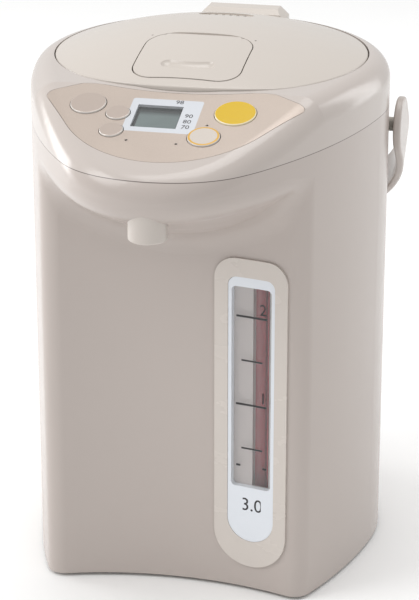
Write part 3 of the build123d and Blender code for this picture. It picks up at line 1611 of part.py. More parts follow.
# ---------------------------------------------------------------- handle
handle_outer_half = handle_inner_half + handle_thickness
bow_start = handle_axis_reach + handle_straight
bow_depth = handle_inner_reach - bow_start
with BuildPart() as handle:
    with BuildSketch(Plane.XY.offset(handle_axis_height - handle_boss_radius)):
        with Locations((0, bow_start)):
            Ellipse(handle_outer_half, bow_depth + handle_thickness)
            Ellipse(handle_inner_half, bow_depth, mode=Mode.SUBTRACT)
            with Locations((0, handle_inner_reach)):
                Rectangle(far, 2 * handle_inner_reach, mode=Mode.INTERSECT)
        for side in (-1, 1):
            with Locations(
                (
                    side * (handle_inner_half + handle_thickness / 2),
                    handle_axis_reach + (handle_straight - handle_boss_radius) / 2,
                )
            ):
                Rectangle(handle_thickness, handle_boss_radius + handle_straight)
    extrude(amount=2 * handle_boss_radius)
    with BuildSketch(Plane.YZ.offset(-handle_outer_half)):
        with Locations((handle_axis_reach, handle_axis_height)):
            Circle(handle_boss_radius)
        with Locations((handle_inner_reach + handle_thickness, handle_axis_height)):
            Circle(handle_grip_radius)
        make_hull()
    extrude(amount=2 * handle_outer_half, mode=Mode.INTERSECT)
    fillet(handle.edges().filter_by(GeomType.LINE, reverse=True), handle_edge_radius)
    for side in (-1, 1):
        with BuildSketch(Plane.YZ.offset(side * (handle_outer_half - pivot_skin))):
            with Locations((handle_axis_reach, handle_axis_height)):
                Circle(pivot_radius + shaft_gap)
        extrude(amount=-side * handle_thickness, mode=Mode.SUBTRACT)
pivot_axis = Axis((0, handle_axis_reach, handle_axis_height), (1, 0, 0))
save(handle.part.rotate(pivot_axis, -handle_hang), "handle")

pivot_outer = handle_outer_half - pivot_skin - pivot_collar_gap
pivot_inner = case_radius - case_wall / 2 - pivot_boss_depth
with BuildPart() as handle_pivots:
    for side in (-1, 1):
        with BuildSketch(Plane.YZ.offset(side * pivot_inner)):
            with Locations((handle_axis_reach, handle_axis_height)):
                Circle(pivot_radius)
        extrude(amount=side * (pivot_outer - pivot_inner))
        with BuildSketch(Plane.YZ.offset(side * pivot_inner)):
            with Locations((handle_axis_reach, handle_axis_height)):
                Circle(pivot_collar_radius)
        extrude(amount=-side * pivot_skin)
save(handle_pivots.part, "handle_pivots")

# ---------------------------------------------------------------- bottom
foot_places = [
    (foot_circle * cos(radians(angle)), foot_circle * sin(radians(angle))) for angle in foot_angles
]
post_x = power_board_width / 2 - power_post_inset
post_y = power_board_length / 2 - power_post_inset
post_places = [
    (power_board_x + sx * post_x, power_board_y + sy * post_y) for sx in (-1, 1) for sy in (-1, 1)
]
with BuildPart() as bottom_cover:
    with BuildSketch(Plane.XY.offset(foot_height)):
        add(column_outline(case_wall + cover_gap))
        with Locations(*boss_places):
            Circle(screw_radius, mode=Mode.SUBTRACT)
    extrude(amount=cover_thickness)
    with BuildSketch(Plane.XY.offset(cover_top)):
        with Locations(*post_places):
            Circle(power_post_radius)
    extrude(amount=power_board_height - cover_top)
    with BuildSketch(Plane.XY.offset(cover_top)):
        with Locations((pump_x, pump_y)):
            Circle(motor_radius)
            Circle(motor_radius - bracket_wall, mode=Mode.SUBTRACT)
    extrude(amount=motor_low - cover_top)
save(bottom_cover.part, "bottom_cover")

with BuildPart() as foot_pads:
    with BuildSketch():
        with Locations(*foot_places):
            Circle(foot_radius)
    extrude(amount=foot_height)
    chamfer(foot_pads.edges().group_by(Axis.Z)[0], foot_height / 4)
save(foot_pads.part, "foot_pads")

with BuildPart() as case_screws:
    for place in board_boss_places:
        head = panel_plane.offset(-board_depth - board_thickness).from_local_coords(
            Vector(*panel_point(*place), 0)
        )
        add(screw(head, panel_plane.z_dir, screw_head_radius, board_thickness + screw_bite))
    for x, y in boss_places:
        add(
            screw(
                (x, y, foot_height),
                (0, 0, 1),
                screw_head_radius,
                cover_thickness + screw_bite,
            )
        )
save(case_screws.part, "case_screws")

# ---------------------------------------------------------------- power board and socket
with BuildPart() as power_board:
    with BuildSketch(Plane.XY.offset(power_board_height)):
        with Locations((power_board_x, power_board_y)):
            Rectangle(power_board_width, power_board_length)
    extrude(amount=board_thickness)
save(power_board.part, "power_board")

board_top = power_board_height + board_thickness
# name, x and y from the board's centre, width, length, height
block_parts = ((-10.0, -14.0, 28.0, 24.0, 20.0), (16.0, 16.0, 18.0, 16.0, 15.0))
can_parts = ((-18.0, 14.0, 6.0, 20.0), (-4.0, 18.0, 5.0, 14.0), (18.0, -12.0, 4.0, 12.0))
with BuildPart() as board_components:
    for x, y, width, length, height in block_parts:
        with BuildSketch(Plane.XY.offset(board_top)):
            with Locations((power_board_x + x, power_board_y + y)):
                Rectangle(width, length)
        extrude(amount=height)
    for x, y, radius, height in can_parts:
        with BuildSketch(Plane.XY.offset(board_top)):
            with Locations((power_board_x + x, power_board_y + y)):
                Circle(radius)
        extrude(amount=height)
save(board_components.part, "board_components")

socket_face = case_radius - socket_flange_thickness
wall_inside = sqrt((case_radius - case_wall) ** 2 - (socket_half_width + socket_flange) ** 2)
with BuildPart() as power_inlet:
    with BuildSketch(Plane.XZ.offset(-socket_face)):
        with Locations((0, socket_height)):
            Rectangle(2 * socket_half_width, 2 * socket_half_height)
    extrude(amount=socket_depth)
    with BuildSketch(Plane.XZ.offset(-wall_inside)):
        with Locations((0, socket_height)):
            Rectangle(
                2 * (socket_half_width + socket_flange), 2 * (socket_half_height + socket_flange)
            )
    extrude(amount=socket_flange_thickness)
    with BuildSketch(Plane.XZ.offset(-socket_face)):
        with Locations((0, socket_height)):
            Rectangle(2 * (socket_half_width - socket_rim), 2 * (socket_half_height - socket_rim))
    extrude(amount=socket_recess, mode=Mode.SUBTRACT)
save(power_inlet.part, "power_inlet")

with BuildPart() as inlet_contacts:
    with BuildSketch(Plane.XZ.offset(-socket_face + socket_recess)):
        with Locations((0, socket_height)):
            with GridLocations(contact_spacing, 0, 2, 1):
                Circle(contact_radius)
    extrude(amount=-contact_length)
    fillet(inlet_contacts.edges().group_by(Axis.Y)[-1], contact_radius / 2)
save(inlet_contacts.part, "inlet_contacts")

# ---------------------------------------------------------------- wires
with BuildPart() as wire_harness:
    with BuildLine() as wire_line:
        FilletPolyline(
            (power_board_x, power_board_y - power_board_length / 2 - wire_bend, board_top + 2 * wire_radius),
            (power_board_x, -sleeve_radius, board_top + 2 * wire_radius),
            (power_board_x, -sleeve_radius, parting_height - board_depth),
            (power_board_x / 2, -board_reach - wire_bend, parting_height - board_depth),
            (power_board_x / 2, -board_reach - wire_bend, parting_height + wire_radius),
            radius=wire_bend / 2,
        )
    with BuildSketch(Plane(origin=wire_line.line @ 0, z_dir=wire_line.line % 0)):
        Circle(wire_radius)
    sweep(path=wire_line.line)
save(wire_harness.part, "wire_harness")
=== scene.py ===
"""Looks of the electric thermo pot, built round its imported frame. Metres, +Z up, front towards -Y."""

from math import asin, cos, radians, sin, tan

import bpy
from mathutils import Matrix, Vector


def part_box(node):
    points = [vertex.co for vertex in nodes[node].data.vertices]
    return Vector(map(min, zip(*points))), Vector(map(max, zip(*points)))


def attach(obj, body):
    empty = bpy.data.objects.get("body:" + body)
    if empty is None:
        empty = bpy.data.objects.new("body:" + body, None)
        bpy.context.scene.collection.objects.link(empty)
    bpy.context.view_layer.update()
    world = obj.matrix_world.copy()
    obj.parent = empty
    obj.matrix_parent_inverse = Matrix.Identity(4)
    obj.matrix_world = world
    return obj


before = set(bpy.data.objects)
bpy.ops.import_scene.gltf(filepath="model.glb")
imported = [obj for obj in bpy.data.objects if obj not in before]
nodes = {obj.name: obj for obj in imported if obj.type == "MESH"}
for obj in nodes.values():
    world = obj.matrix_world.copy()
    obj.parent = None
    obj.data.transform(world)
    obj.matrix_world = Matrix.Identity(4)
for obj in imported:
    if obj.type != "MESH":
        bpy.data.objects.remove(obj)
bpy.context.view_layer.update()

# ---------------------------------------------------------------- shared sizes
MM = 0.001
container_low, container_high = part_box("inner_container")
AXIS_Y = (container_low[1] + container_high[1]) / 2

# Joint between the shell and the shoulder ring
PARTING_HEIGHT = 260 * MM
SEAM_HALF = 0.14 * MM
SEAM_SOFT = 0.1 * MM
SEAM_SHARE = 0.8

# Sloping panel: its tilt, and the reach and height of its upper edge
PANEL_TILT = radians(18)
PANEL_REACH = 84 * MM
PANEL_TOP = 285.9 * MM

# Hollow front: its radius and its axis, in front of the container's; the gauge's place on it
WALL_RADIUS = 200 * MM
WALL_AXIS_Y = -286 * MM
GAUGE_X = 42.5 * MM
GAUGE_ANGLE = asin(GAUGE_X / WALL_RADIUS)

# Middle of the gauge glass: across, and behind the container's axis
TUBE = (44.604 * MM, -80.894 * MM)

# Prints and clear pieces
PRINT_EDGE = 0.1 * MM
PRINT_LIFT = 0.03 * MM
PANE_ALPHA = 0.07
PANE_FACE = 0.2 * MM
TUBE_ALPHA = 0.05
CLEAR_ROUGHNESS = 0.05

# Keys: across, reach in front of the container's axis, radius
KEYS = {
    "dispense_button": (34.7 * MM, 99.8 * MM, 11.0 * MM),
    "unlock_button": (22.6 * MM, 121.6 * MM, 8.6 * MM),
    "energy_button": (-44.6 * MM, 98.5 * MM, 9.6 * MM),
    "reboil_button": (-26.9 * MM, 105.2 * MM, 6.4 * MM),
    "temperature_button": (-26.7 * MM, 120.3 * MM, 6.3 * MM),
}
# Width of the pale edge painted round each key's top; on the taupe keys it is painted highlight along
# the rim
KEY_EDGE = 0.45 * MM
RING_WIDTH = 1.0 * MM
YELLOW = (0.6, 0.39, 0.006, 1.0)

# Display: across and reach of its middle; its glass: shift across and up from there, half-width
# and half-height; its printed field: across, reach, half-width and half-height
DISPLAY = (-5.7 * MM, 106.2 * MM)
DISPLAY_GLASS = (0.4 * MM, -0.9 * MM, 10.9 * MM, 9.7 * MM)
DISPLAY_CORNER = 0.4 * MM
# Painted shadow under the display recess's upper edge: distances up the slope from the display's middle
# where it begins and where it is darkest
DISPLAY_PAINTED_SHADOW = (2 * MM, 7.5 * MM)
LABEL = (-2.7 * MM, 105.3 * MM, 19.0 * MM, 15.2 * MM)
LABEL_CORNER = 1.5 * MM

# Where the pale margin of the gauge's band, a painted highlight of the tube's left wall, turns to
# colour, across the tube from its middle
BAND_EDGE = (-3.2 * MM, -2.9 * MM)

# Back half of the gauge glass: depth past its middle over which it turns solid
GLASS_BACK = (0.1 * MM, 0.4 * MM)

# Level marks: across, height, half-length and half-thickness, millimetres
SCALE_MARKS = (
    (-0.1, 165.0, 9.1, 0.64),
    (0.2, 139.5, 6.3, 0.54),
    (-0.1, 113.5, 9.1, 0.64),
    (0.4, 87.4, 6.3, 0.54),
    (-7.6, 76.8, 1.3, 0.65),
    (8.2, 76.8, 1.3, 0.65),
)
MARK_CORNER = 0.2 * MM

# Figures on the panel: words, across, reach in front of the container's axis, millimetres
FIGURE_HEIGHT = 3.1
PANEL_FIGURES = (("98", 3.5, 92.6), ("90", 10.9, 104.2), ("80", 11.0, 109.1), ("70", 11.1, 113.8))

# Figures on the gauge: words, across, height, size and how far in front of the wall, millimetres
GAUGE_FIGURES = (
    ("2", 6.7, 170.2, 6.3, 0.6),
    ("1", 7.0, 118.8, 6.3, 0.6),
    ("3.0", 0.9, 53.6, 7.6, 0.9),
)

# Camera and light
LENS = 140.04
SENSOR_WIDTH = 36
VIEW_REACH = 50
CAMERA_PLACE = (0.2746, AXIS_Y - 1.2415, 0.6169)
CAMERA_TURN = (radians(90 - 20.63), 0, radians(12.53))
FLOOR_SIZE = 8
SKY_STRENGTH = 0.72

# Lamps: name, place, what it faces, width, height, power in watts
LAMPS = (
    ("key_light", (-1.2, -0.7, 1.5), (0, 0, 0.15), 0.9, 1.2, 13),
    ("left_light", (-1.4, 0.35, 0.35), (0, 0, 0.14), 0.5, 0.8, 7),
    ("top_light", (0.1, 0.3, 2.0), (0, 0, 0.2), 1.2, 1.2, 12),
    ("back_right_light", (1.1, 1.2, 0.5), (0.1, 0, 0.17), 0.4, 1.2, 4),
)

# Noise scales: features to a metre
FLOW = 9
GRAIN = 2600
RUB = 40
PEARL_FLOW = 24
FLAKE = 5200
SCRATCH = 900
CLOUD = 30
BLOOM = 70
PORE = 1800
SMEAR = 45
DUST = 3

# ---------------------------------------------------------------- camera
camera_data = bpy.data.cameras.new("camera")
camera_data.lens = LENS
camera_data.sensor_width = SENSOR_WIDTH
camera_data.clip_end = VIEW_REACH
camera = bpy.data.objects.new("camera", camera_data)
bpy.context.scene.collection.objects.link(camera)
camera.location = CAMERA_PLACE
camera.rotation_euler = CAMERA_TURN
bpy.context.scene.camera = camera
bpy.context.scene.view_settings.view_transform = "Standard"


# ---------------------------------------------------------------- shader arithmetic
class Term:
    """A number that varies over a surface and takes part in ordinary arithmetic."""

    def __init__(self, finish, socket):
        self.finish = finish
        self.socket = socket

    def join(self, operation, *terms):
        inputs = dict(enumerate(terms))
        return self.finish.node("ShaderNodeMath", {"operation": operation}, inputs)[0]

    def __add__(self, other):
        return self.join("ADD", self, other)

    __radd__ = __add__

    def __sub__(self, other):
        return self.join("SUBTRACT", self, other)

    def __rsub__(self, other):
        return self.join("SUBTRACT", other, self)

    def __mul__(self, other):
        return self.join("MULTIPLY", self, other)

    __rmul__ = __mul__

    def __abs__(self):
        return self.join("ABSOLUTE", self)

    def __pow__(self, other):
        return self.join("POWER", self, other)

    def most(self, other):
        return self.join("MAXIMUM", self, other)

    def between(self, low, high):
        """0 below low, 1 above high, smooth between them; reversed if low is above high."""
        if low > high:
            return 1 - self.between(high, low)
        settings = {"interpolation_type": "SMOOTHSTEP"}
        inputs = {"Value": self, "From Min": low, "From Max": high}
        return self.finish.node("ShaderNodeMapRange", settings, inputs)["Result"]

    def band(self, middle, half, soft):
        """1 within half of middle, fading over soft."""
        return abs(self - middle).between(half + soft, half)


class Finish:
    """One material: a Principled shader and the nodes that vary it."""

    def __init__(self, name, roughness, metallic=0.0, **constants):
        self.material = bpy.data.materials.new(name)
        self.material.use_nodes = True
        self.tree = self.material.node_tree
        self.shader = self.tree.nodes["Principled BSDF"]
        self.set("Roughness", roughness)
        self.set("Metallic", metallic)
        for key, value in constants.items():
            self.set(key.replace("_", " "), value)
        self.place = self.node("ShaderNodeTexCoord", {}, {})["Object"]

    def put(self, socket, value):
        if isinstance(value, Term):
            self.tree.links.new(value.socket, socket)
        else:
            socket.default_value = value

    def set(self, name, value):
        self.put(self.shader.inputs[name], value)

    def node(self, kind, settings, inputs):
        made = self.tree.nodes.new(kind)
        for key, value in settings.items():
            setattr(made, key, value)
        for key, value in inputs.items():
            self.put(made.inputs[key], value)
        outputs = {}
        for index, socket in enumerate(made.outputs):
            outputs[index] = Term(self, socket)
            if socket.enabled:
                outputs[socket.name] = outputs[index]
        return outputs

    def axes(self):
        """Place on the object: across, behind the container's axis, height."""
        parts = self.node("ShaderNodeSeparateXYZ", {}, {0: self.place})
        return parts[0], parts[1] - AXIS_Y, parts[2]

    def noise(self, scale, detail=2.0, stretch=None):
        place = self.place
        if stretch:
            settings = {"operation": "MULTIPLY"}
            place = self.node("ShaderNodeVectorMath", settings, {0: place, 1: stretch})[0]
        inputs = {"Vector": place, "Scale": scale, "Detail": detail}
        return self.node("ShaderNodeTexNoise", {}, inputs)[0]

    def mix(self, share, first, second):
        """A colour between two colours."""
        made = self.node("ShaderNodeMix", {"data_type": "RGBA"}, {0: share, 6: first, 7: second})
        return made[2]

    def bump(self, height, distance):
        inputs = {"Height": height, "Distance": distance, "Strength": 1.0}
        made = self.node("ShaderNodeBump", {}, inputs)
        self.set("Normal", made[0])


def tint(red, green, blue):
    """A colour from its 0 to 255 screen values."""
    parts = []
    for part in (red, green, blue):
        share = part / 255
        parts.append(share / 12.92 if share <= 0.04045 else ((share + 0.055) / 1.055) ** 2.4)
    return (*parts, 1.0)


def shade(colour, share):
    return (*(part * share for part in colour[:3]), 1.0)


# ---------------------------------------------------------------- finishes
def moulded(name, colour, roughness, paint=None):
    """Injection-moulded plastic: faint flow marks, orange peel and fine rubbing.
    paint, if given, turns the plain colour into one that varies."""
    made = Finish(name, roughness)
    flow = made.noise(FLOW)
    speckle = made.noise(GRAIN)
    rub = made.noise(RUB, 4.0, (1.0, 1.0, 2.0))
    clean = made.mix(flow.between(0.3, 0.7), shade(colour, 0.992), shade(colour, 1.008))
    if paint:
        clean = paint(made, clean)
    made.set("Base Color", made.mix(speckle * 0.04, clean, shade(colour, 0.8)))
    made.set("Roughness", rub.between(0.35, 0.75) * 0.05 + (roughness - 0.02))
    made.bump(speckle * 0.004, 0.002)
    return made


def pearly(name, colour, roughness, metallic, paint=None):
    """Plastic with metal flakes in it, as on the panel and its keys."""
    made = Finish(name, roughness, metallic, Coat_Weight=0.25, Coat_Roughness=0.12)
    flake = made.noise(FLAKE, 1.0)
    flow = made.noise(PEARL_FLOW)
    base = made.mix(flow.between(0.3, 0.7), shade(colour, 0.97), shade(colour, 1.03))
    base = made.mix(flake.between(0.56, 0.66), base, shade(colour, 1.15))
    if paint:
        base = paint(made, base)
    made.set("Base Color", base)
    made.set("Roughness", flake * 0.12 + (roughness - 0.06))
    made.bump(flake * 0.004, 0.002)
    return made


def sheet_metal(name, colour, roughness, lines):
    """Drawn or turned steel with fine lines along it."""
    made = Finish(name, roughness, 1.0)
    scratch = made.noise(SCRATCH, 3.0, lines)
    cloud = made.noise(CLOUD)
    made.set("Base Color", made.mix(cloud, shade(colour, 0.9), shade(colour, 1.06)))
    made.set("Roughness", scratch * 0.18 + (roughness - 0.06))
    made.bump(scratch * 0.02, 0.001)
    return made


def soft(name, colour, roughness):
    """Rubber and silicone: matt, with a dusty bloom."""
    made = Finish(name, roughness)
    bloom = made.noise(BLOOM, 4.0)
    pore = made.noise(PORE)
    made.set("Base Color", made.mix(bloom.between(0.35, 0.75), colour, shade(colour, 1.25)))
    made.set("Roughness", bloom * 0.15 + (roughness - 0.07))
    made.bump(pore * 0.05, 0.001)
    return made


def clear(name, colour, alpha):
    """A clear pane or tube."""
    made = Finish(name, CLEAR_ROUGHNESS, Alpha=alpha, IOR=1.5)
    smear = made.noise(SMEAR, 4.0)
    made.set("Base Color", made.mix(smear, colour, shade(colour, 0.96)))
    made.set("Roughness", smear * 0.06 + CLEAR_ROUGHNESS)
    return made


def rounded(across, along, centre, half, corner):
    """1 inside an upright rectangle with round corners, 0 outside."""
    dx = (abs(across - centre[0]) - (half[0] - corner)).most(0.0)
    dy = (abs(along - centre[1]) - (half[1] - corner)).most(0.0)
    return ((dx * dx + dy * dy) ** 0.5).between(corner + PRINT_EDGE, corner - PRINT_EDGE)


def on_slope(made, x, reach):
    """Distances across and up the sloping panel, from a point of the panel."""
    px, py, pz = made.axes()
    rise = PANEL_TOP - (reach - PANEL_REACH) * tan(PANEL_TILT)
    along = (py + reach) * cos(PANEL_TILT) + (pz - rise) * sin(PANEL_TILT)
    return px - x, along


def on_wall(made):
    """Distance round the hollow front from the gauge's middle, radius and height."""
    px, py, pz = made.axes()
    angle = made.node("ShaderNodeMath", {"operation": "ARCTAN2"}, {0: px, 1: py - WALL_AXIS_Y})[0]
    depth = py - WALL_AXIS_Y
    radius = (px * px + depth * depth) ** 0.5
    return (angle - GAUGE_ANGLE) * WALL_RADIUS, radius, pz


BEIGE = tint(183, 173, 167)
CREAM = tint(188, 179, 173)
IVORY = tint(196, 188, 180)
TAUPE = tint(182, 168, 157)
# Pale key edge; on the taupe keys it is painted highlight along the rim
PALE = tint(204, 198, 192)
SHADOW = tint(70, 62, 58)
GLASS = tint(236, 240, 240)
BAND_RED = tint(206, 62, 78)
KEY_TOP = tint(176, 162, 152)
UNLOCK_CREAM = tint(196, 187, 178)


def seam_line(made, base):
    """Fine dark joint between the shell and the shoulder ring."""
    height = made.axes()[2]
    seam = height.band(PARTING_HEIGHT, SEAM_HALF, SEAM_SOFT)
    return made.mix(seam * SEAM_SHARE, base, SHADOW)


def label_block(made, base):
    """Pale printed field round the display."""
    across, along = on_slope(made, *LABEL[:2])
    field = rounded(across, along, (0, 0), LABEL[2:], LABEL_CORNER)
    return made.mix(field, base, tint(200, 203, 208))


def key_paint(key, top, side, ring=None):
    """Paint of a key: one colour on its top, one on its side and, if given, a printed ring's."""
    x, reach, radius = KEYS[key]

    def paint(made, base):
        across, along = on_slope(made, x, reach)
        out = (across * across + along * along) ** 0.5
        edge = radius - KEY_EDGE
        result = made.mix(out.between(edge - PRINT_EDGE, edge + PRINT_EDGE), top, side)
        if ring:
            shown = out.band(edge - RING_WIDTH / 2, RING_WIDTH / 2, PRINT_EDGE)
            result = made.mix(shown, result, ring)
        return result

    return paint


def display_paint(made, base):
    """Display glass in a dark mask, with painted shadow darkening it under its upper edge."""
    across, along = on_slope(made, *DISPLAY)
    shown = rounded(across, along, DISPLAY_GLASS[:2], DISPLAY_GLASS[2:], DISPLAY_CORNER)
    # Painted shadow of the recess's upper edge, darkest at the top of the glass
    depth = along.between(*DISPLAY_PAINTED_SHADOW)
    glass = made.mix(depth, tint(98, 110, 109), tint(30, 33, 34))
    return made.mix(shown, tint(26, 28, 30), glass)


def backing_paint(made, base):
    """Coloured band behind the sight tube, with a pale margin on its left that is painted highlight of
    the tube's left wall.
    """
    px, py, _ = made.axes()
    side = (px - TUBE[0]) * cos(GAUGE_ANGLE) - (py - TUBE[1]) * sin(GAUGE_ANGLE)
    return made.mix(side.between(*BAND_EDGE), tint(214, 208, 204), base)


def gauge_glass(name):
    """Gauge glass: clear in front, its back half in the colours of the band behind it."""
    made = Finish(name, CLEAR_ROUGHNESS, IOR=1.5)
    px, py, _ = made.axes()
    depth = (px - TUBE[0]) * sin(GAUGE_ANGLE) + (py - TUBE[1]) * cos(GAUGE_ANGLE)
    back = depth.between(*GLASS_BACK)
    smear = made.noise(SMEAR, 4.0)
    # Band colours, its pale margin painted highlight of the tube's left wall
    band = backing_paint(made, BAND_RED)
    made.set("Base Color", made.mix(back, GLASS, band))
    made.set("Roughness", smear * 0.06 + back * 0.3 + CLEAR_ROUGHNESS)
    made.set("Alpha", back * (1 - TUBE_ALPHA) + TUBE_ALPHA)
    return made


def scale_pane(name):
    """Clear pane with the level marks printed on its face."""
    made = Finish(name, 0.08, IOR=1.5)
    arc, radius, height = on_wall(made)
    face = radius.between(WALL_RADIUS + PANE_FACE, WALL_RADIUS)
    marks = None
    for middle, level, half, thick in SCALE_MARKS:
        centre = (middle * MM, level * MM)
        mark = rounded(arc, height, centre, (half * MM, thick * MM), MARK_CORNER)
        marks = mark if marks is None else marks.most(mark)
    marks = marks * face
    smear = made.noise(SMEAR, 4.0)
    made.set("Base Color", made.mix(marks, tint(235, 238, 238), tint(34, 30, 32)))
    made.set("Roughness", smear * 0.08 + marks * 0.3 + 0.03)
    made.set("Alpha", marks * (1 - PANE_ALPHA) + PANE_ALPHA)
    return made


case_finish = moulded("case_beige", BEIGE, 0.24, paint=seam_line)
handle_finish = moulded("handle_beige", CREAM, 0.24)
ring_finish = moulded("ring_cream", CREAM, 0.2, paint=seam_line)
lid_finish = moulded("lid_cream", IVORY, 0.24)
panel_finish = pearly("panel_taupe", TAUPE, 0.34, 0.3, label_block)
# Taupe keys: their pale edges are painted highlight along the rounded rims
key_finishes = {
    key: pearly(f"{key}_pearl", tint(178, 164, 154), 0.3, 0.2, key_paint(key, KEY_TOP, PALE))
    for key in ("energy_button", "reboil_button", "temperature_button")
}
key_finishes["unlock_button"] = pearly(
    "unlock_cream",
    UNLOCK_CREAM,
    0.3,
    0.1,
    key_paint("unlock_button", UNLOCK_CREAM, PALE, tint(206, 160, 62)),
)
key_finishes["dispense_button"] = moulded(
    "dispense_yellow",
    YELLOW,
    0.26,
    paint=key_paint("dispense_button", YELLOW, tint(236, 226, 196)),
)
engineering_finish = moulded("inner_plastic", tint(205, 200, 190), 0.5)
nozzle_finish = moulded("nozzle_beige", tint(194, 186, 179), 0.3)
dark_finish = moulded("black_plastic", tint(38, 38, 40), 0.45)
steel_finish = sheet_metal("drawn_steel", tint(196, 196, 194), 0.3, (1.0, 1.0, 12.0))
pin_finish = sheet_metal("plated_steel", tint(205, 205, 205), 0.22, (0.2, 1.0, 1.0))
brass_finish = sheet_metal("plated_brass", tint(214, 184, 110), 0.25, (1.0, 0.2, 1.0))
magnet_finish = sheet_metal("ferrite", tint(70, 68, 68), 0.5, (1.0, 1.0, 1.0))
rubber_finish = soft("grey_rubber", tint(70, 70, 72), 0.7)
silicone_finish = soft("silicone", tint(205, 204, 200), 0.5)
felt_finish = soft("felt", tint(205, 200, 185), 0.95)
mica_finish = moulded("mica", tint(160, 140, 105), 0.55)
board_finish = moulded("board_laminate", tint(30, 92, 52), 0.4)
pane_finish = clear("clear_pane", tint(235, 238, 238), 0.08)
window_finish = scale_pane("scale_pane")
tube_finish = clear("clear_tube", GLASS, TUBE_ALPHA)
glass_finish = gauge_glass("gauge_glass")
trim_finish = moulded("trim_beige", tint(205, 197, 190), 0.26)
bezel_finish = moulded("bezel_white", tint(222, 226, 232), 0.3)
plate_finish = moulded("scale_plate", tint(176, 168, 166), 0.4)
red_finish = moulded("red_band", BAND_RED, 0.35, paint=backing_paint)
display_finish = moulded("display_glass", tint(140, 152, 150), 0.12, paint=display_paint)
ink_finish = moulded("black_ink", tint(44, 42, 44), 0.4)

finishes = {
    case_finish: ["body_shell"],
    handle_finish: ["handle"],
    ring_finish: ["top_ring"],
    lid_finish: ["lid_cover", "lid_lever", "hinge_block", "steam_vent_cap"],
    panel_finish: ["control_panel"],
    pane_finish: ["lcd_window", "indicator_lenses"],
    window_finish: ["gauge_window"],
    nozzle_finish: ["spout_nozzle"],
    display_finish: ["lcd_module"],
    trim_finish: ["gauge_trim"],
    bezel_finish: ["gauge_bezel"],
    plate_finish: ["gauge_plate"],
    red_finish: ["tube_backing"],
    tube_finish: ["spout_pipe"],
    glass_finish: ["sight_tube"],
    steel_finish: [
        "valve_ball",
        "lid_inner_plate",
        "inner_container",
        "thermistor",
        "heat_shield",
        "strainer",
        "pump_motor",
    ],
    pin_finish: ["lever_pin", "lid_hinge_pin", "lid_screws", "case_screws"],
    brass_finish: ["inlet_contacts"],
    magnet_finish: ["drive_rotor"],
    rubber_finish: ["foot_pads"],
    silicone_finish: ["lid_gasket", "container_seal", "suction_sleeve", "outlet_hose"],
    felt_finish: ["insulation_sleeve"],
    mica_finish: ["plate_heater"],
    board_finish: ["control_board", "power_board"],
    dark_finish: ["tact_switches", "board_components", "power_inlet", "wire_harness"],
    engineering_finish: [
        "tip_over_valve",
        "handle_pivots",
        "lid_latch",
        "steam_chamber",
        "steam_inlet_cap",
        "thermal_fuse",
        "pump_housing",
        "pump_impeller",
        "pump_bracket",
        "bottom_cover",
    ],
}
finishes.update({finish: [key] for key, finish in key_finishes.items()})
for finish, names in finishes.items():
    for name in names:
        slots = nodes[name].data.materials
        slots.clear()
        slots.append(finish.material)

# Clear pieces cast no shadow, so what lies behind them is lit
for name in ("gauge_window", "sight_tube", "lcd_window"):
    nodes[name].visible_shadow = False


# ---------------------------------------------------------------- printed figures
def printed(name, words, height, place):
    """Raised print of plain figures, its middle where place puts the origin."""
    bpy.ops.object.select_all(action="DESELECT")
    bpy.ops.object.text_add(location=(0, 0, 0))
    piece = bpy.context.active_object
    piece.name = name
    piece.data.body = words
    piece.data.extrude = 0.5 * PRINT_LIFT / height
    bpy.ops.object.convert(target="MESH")
    mesh = piece.data
    low = [min(v.co[i] for v in mesh.vertices) for i in range(2)]
    high = [max(v.co[i] for v in mesh.vertices) for i in range(2)]
    size = height / (high[1] - low[1])
    middle = Vector(((low[0] + high[0]) / 2, (low[1] + high[1]) / 2, 0))
    mesh.transform(Matrix.Translation(-middle))
    mesh.transform(Matrix.Diagonal((size, size, size, 1)))
    mesh.transform(place)
    piece.matrix_world = Matrix.Identity(4)
    mesh.materials.clear()
    mesh.materials.append(ink_finish.material)
    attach(piece, "case")


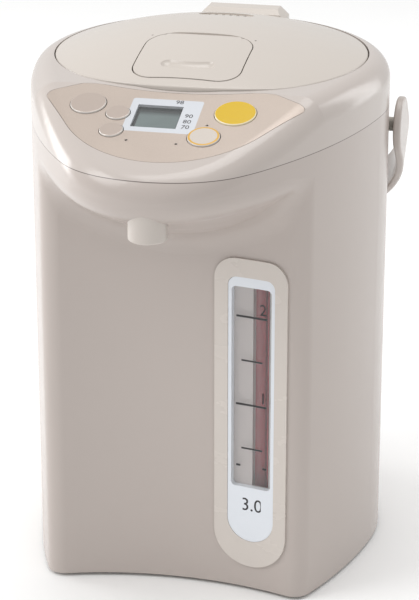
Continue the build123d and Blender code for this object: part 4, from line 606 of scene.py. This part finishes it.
def slope_frame(x, reach, lift):
    """Axes on the sloping panel: across, up the slope, outwards."""
    place = Vector((x, AXIS_Y - reach, PANEL_TOP - (reach - PANEL_REACH) * tan(PANEL_TILT)))
    out = Vector((0, -sin(PANEL_TILT), cos(PANEL_TILT)))
    up = Vector((0, cos(PANEL_TILT), sin(PANEL_TILT)))
    turned = Matrix((Vector((1, 0, 0)), up, out)).transposed().to_4x4()
    return Matrix.Translation(place + out * lift) @ turned


def wall_frame(arc, height, inward):
    """Axes on the hollow front: across, up, outwards."""
    angle = GAUGE_ANGLE + arc / WALL_RADIUS
    radius = WALL_RADIUS - inward
    depth = AXIS_Y + WALL_AXIS_Y + radius * cos(angle)
    place = Vector((radius * sin(angle), depth, height))
    across = Vector((cos(angle), -sin(angle), 0))
    out = Vector((-sin(angle), -cos(angle), 0))
    turned = Matrix((across, Vector((0, 0, 1)), out)).transposed().to_4x4()
    return Matrix.Translation(place) @ turned


for words, x, reach in PANEL_FIGURES:
    place = slope_frame(x * MM, reach * MM, PRINT_LIFT)
    printed(f"figure_{words}", words, FIGURE_HEIGHT * MM, place)
for words, arc, height, size, inward in GAUGE_FIGURES:
    place = wall_frame(arc * MM, height * MM, inward * MM + 2 * PRINT_LIFT)
    printed(f"figure_{words}_litres", words, size * MM, place)

# ---------------------------------------------------------------- floor and lights
bpy.ops.object.select_all(action="DESELECT")
bpy.ops.mesh.primitive_plane_add(size=FLOOR_SIZE, location=(0, 0, 0))
floor = bpy.context.active_object
floor.name = "floor"
floor_finish = Finish("floor_white", 0.7)
dust = floor_finish.noise(DUST)
floor_finish.set("Base Color", floor_finish.mix(dust, tint(247, 247, 247), tint(252, 252, 251)))
floor.data.materials.append(floor_finish.material)

world = bpy.data.worlds.new("studio")
world.use_nodes = True
world.node_tree.nodes["Background"].inputs["Color"].default_value = (1, 1, 1, 1)
world.node_tree.nodes["Background"].inputs["Strength"].default_value = SKY_STRENGTH
bpy.context.scene.world = world


def lamp(name, place, target, width, height, power):
    light = bpy.data.lights.new(name, "AREA")
    light.shape = "RECTANGLE"
    light.size = width
    light.size_y = height
    light.energy = power
    holder = bpy.data.objects.new(name, light)
    bpy.context.scene.collection.objects.link(holder)
    holder.location = place
    aim = Vector(target) - Vector(place)
    holder.rotation_euler = aim.to_track_quat("-Z", "Y").to_euler()


for settings in LAMPS:
    lamp(*settings)
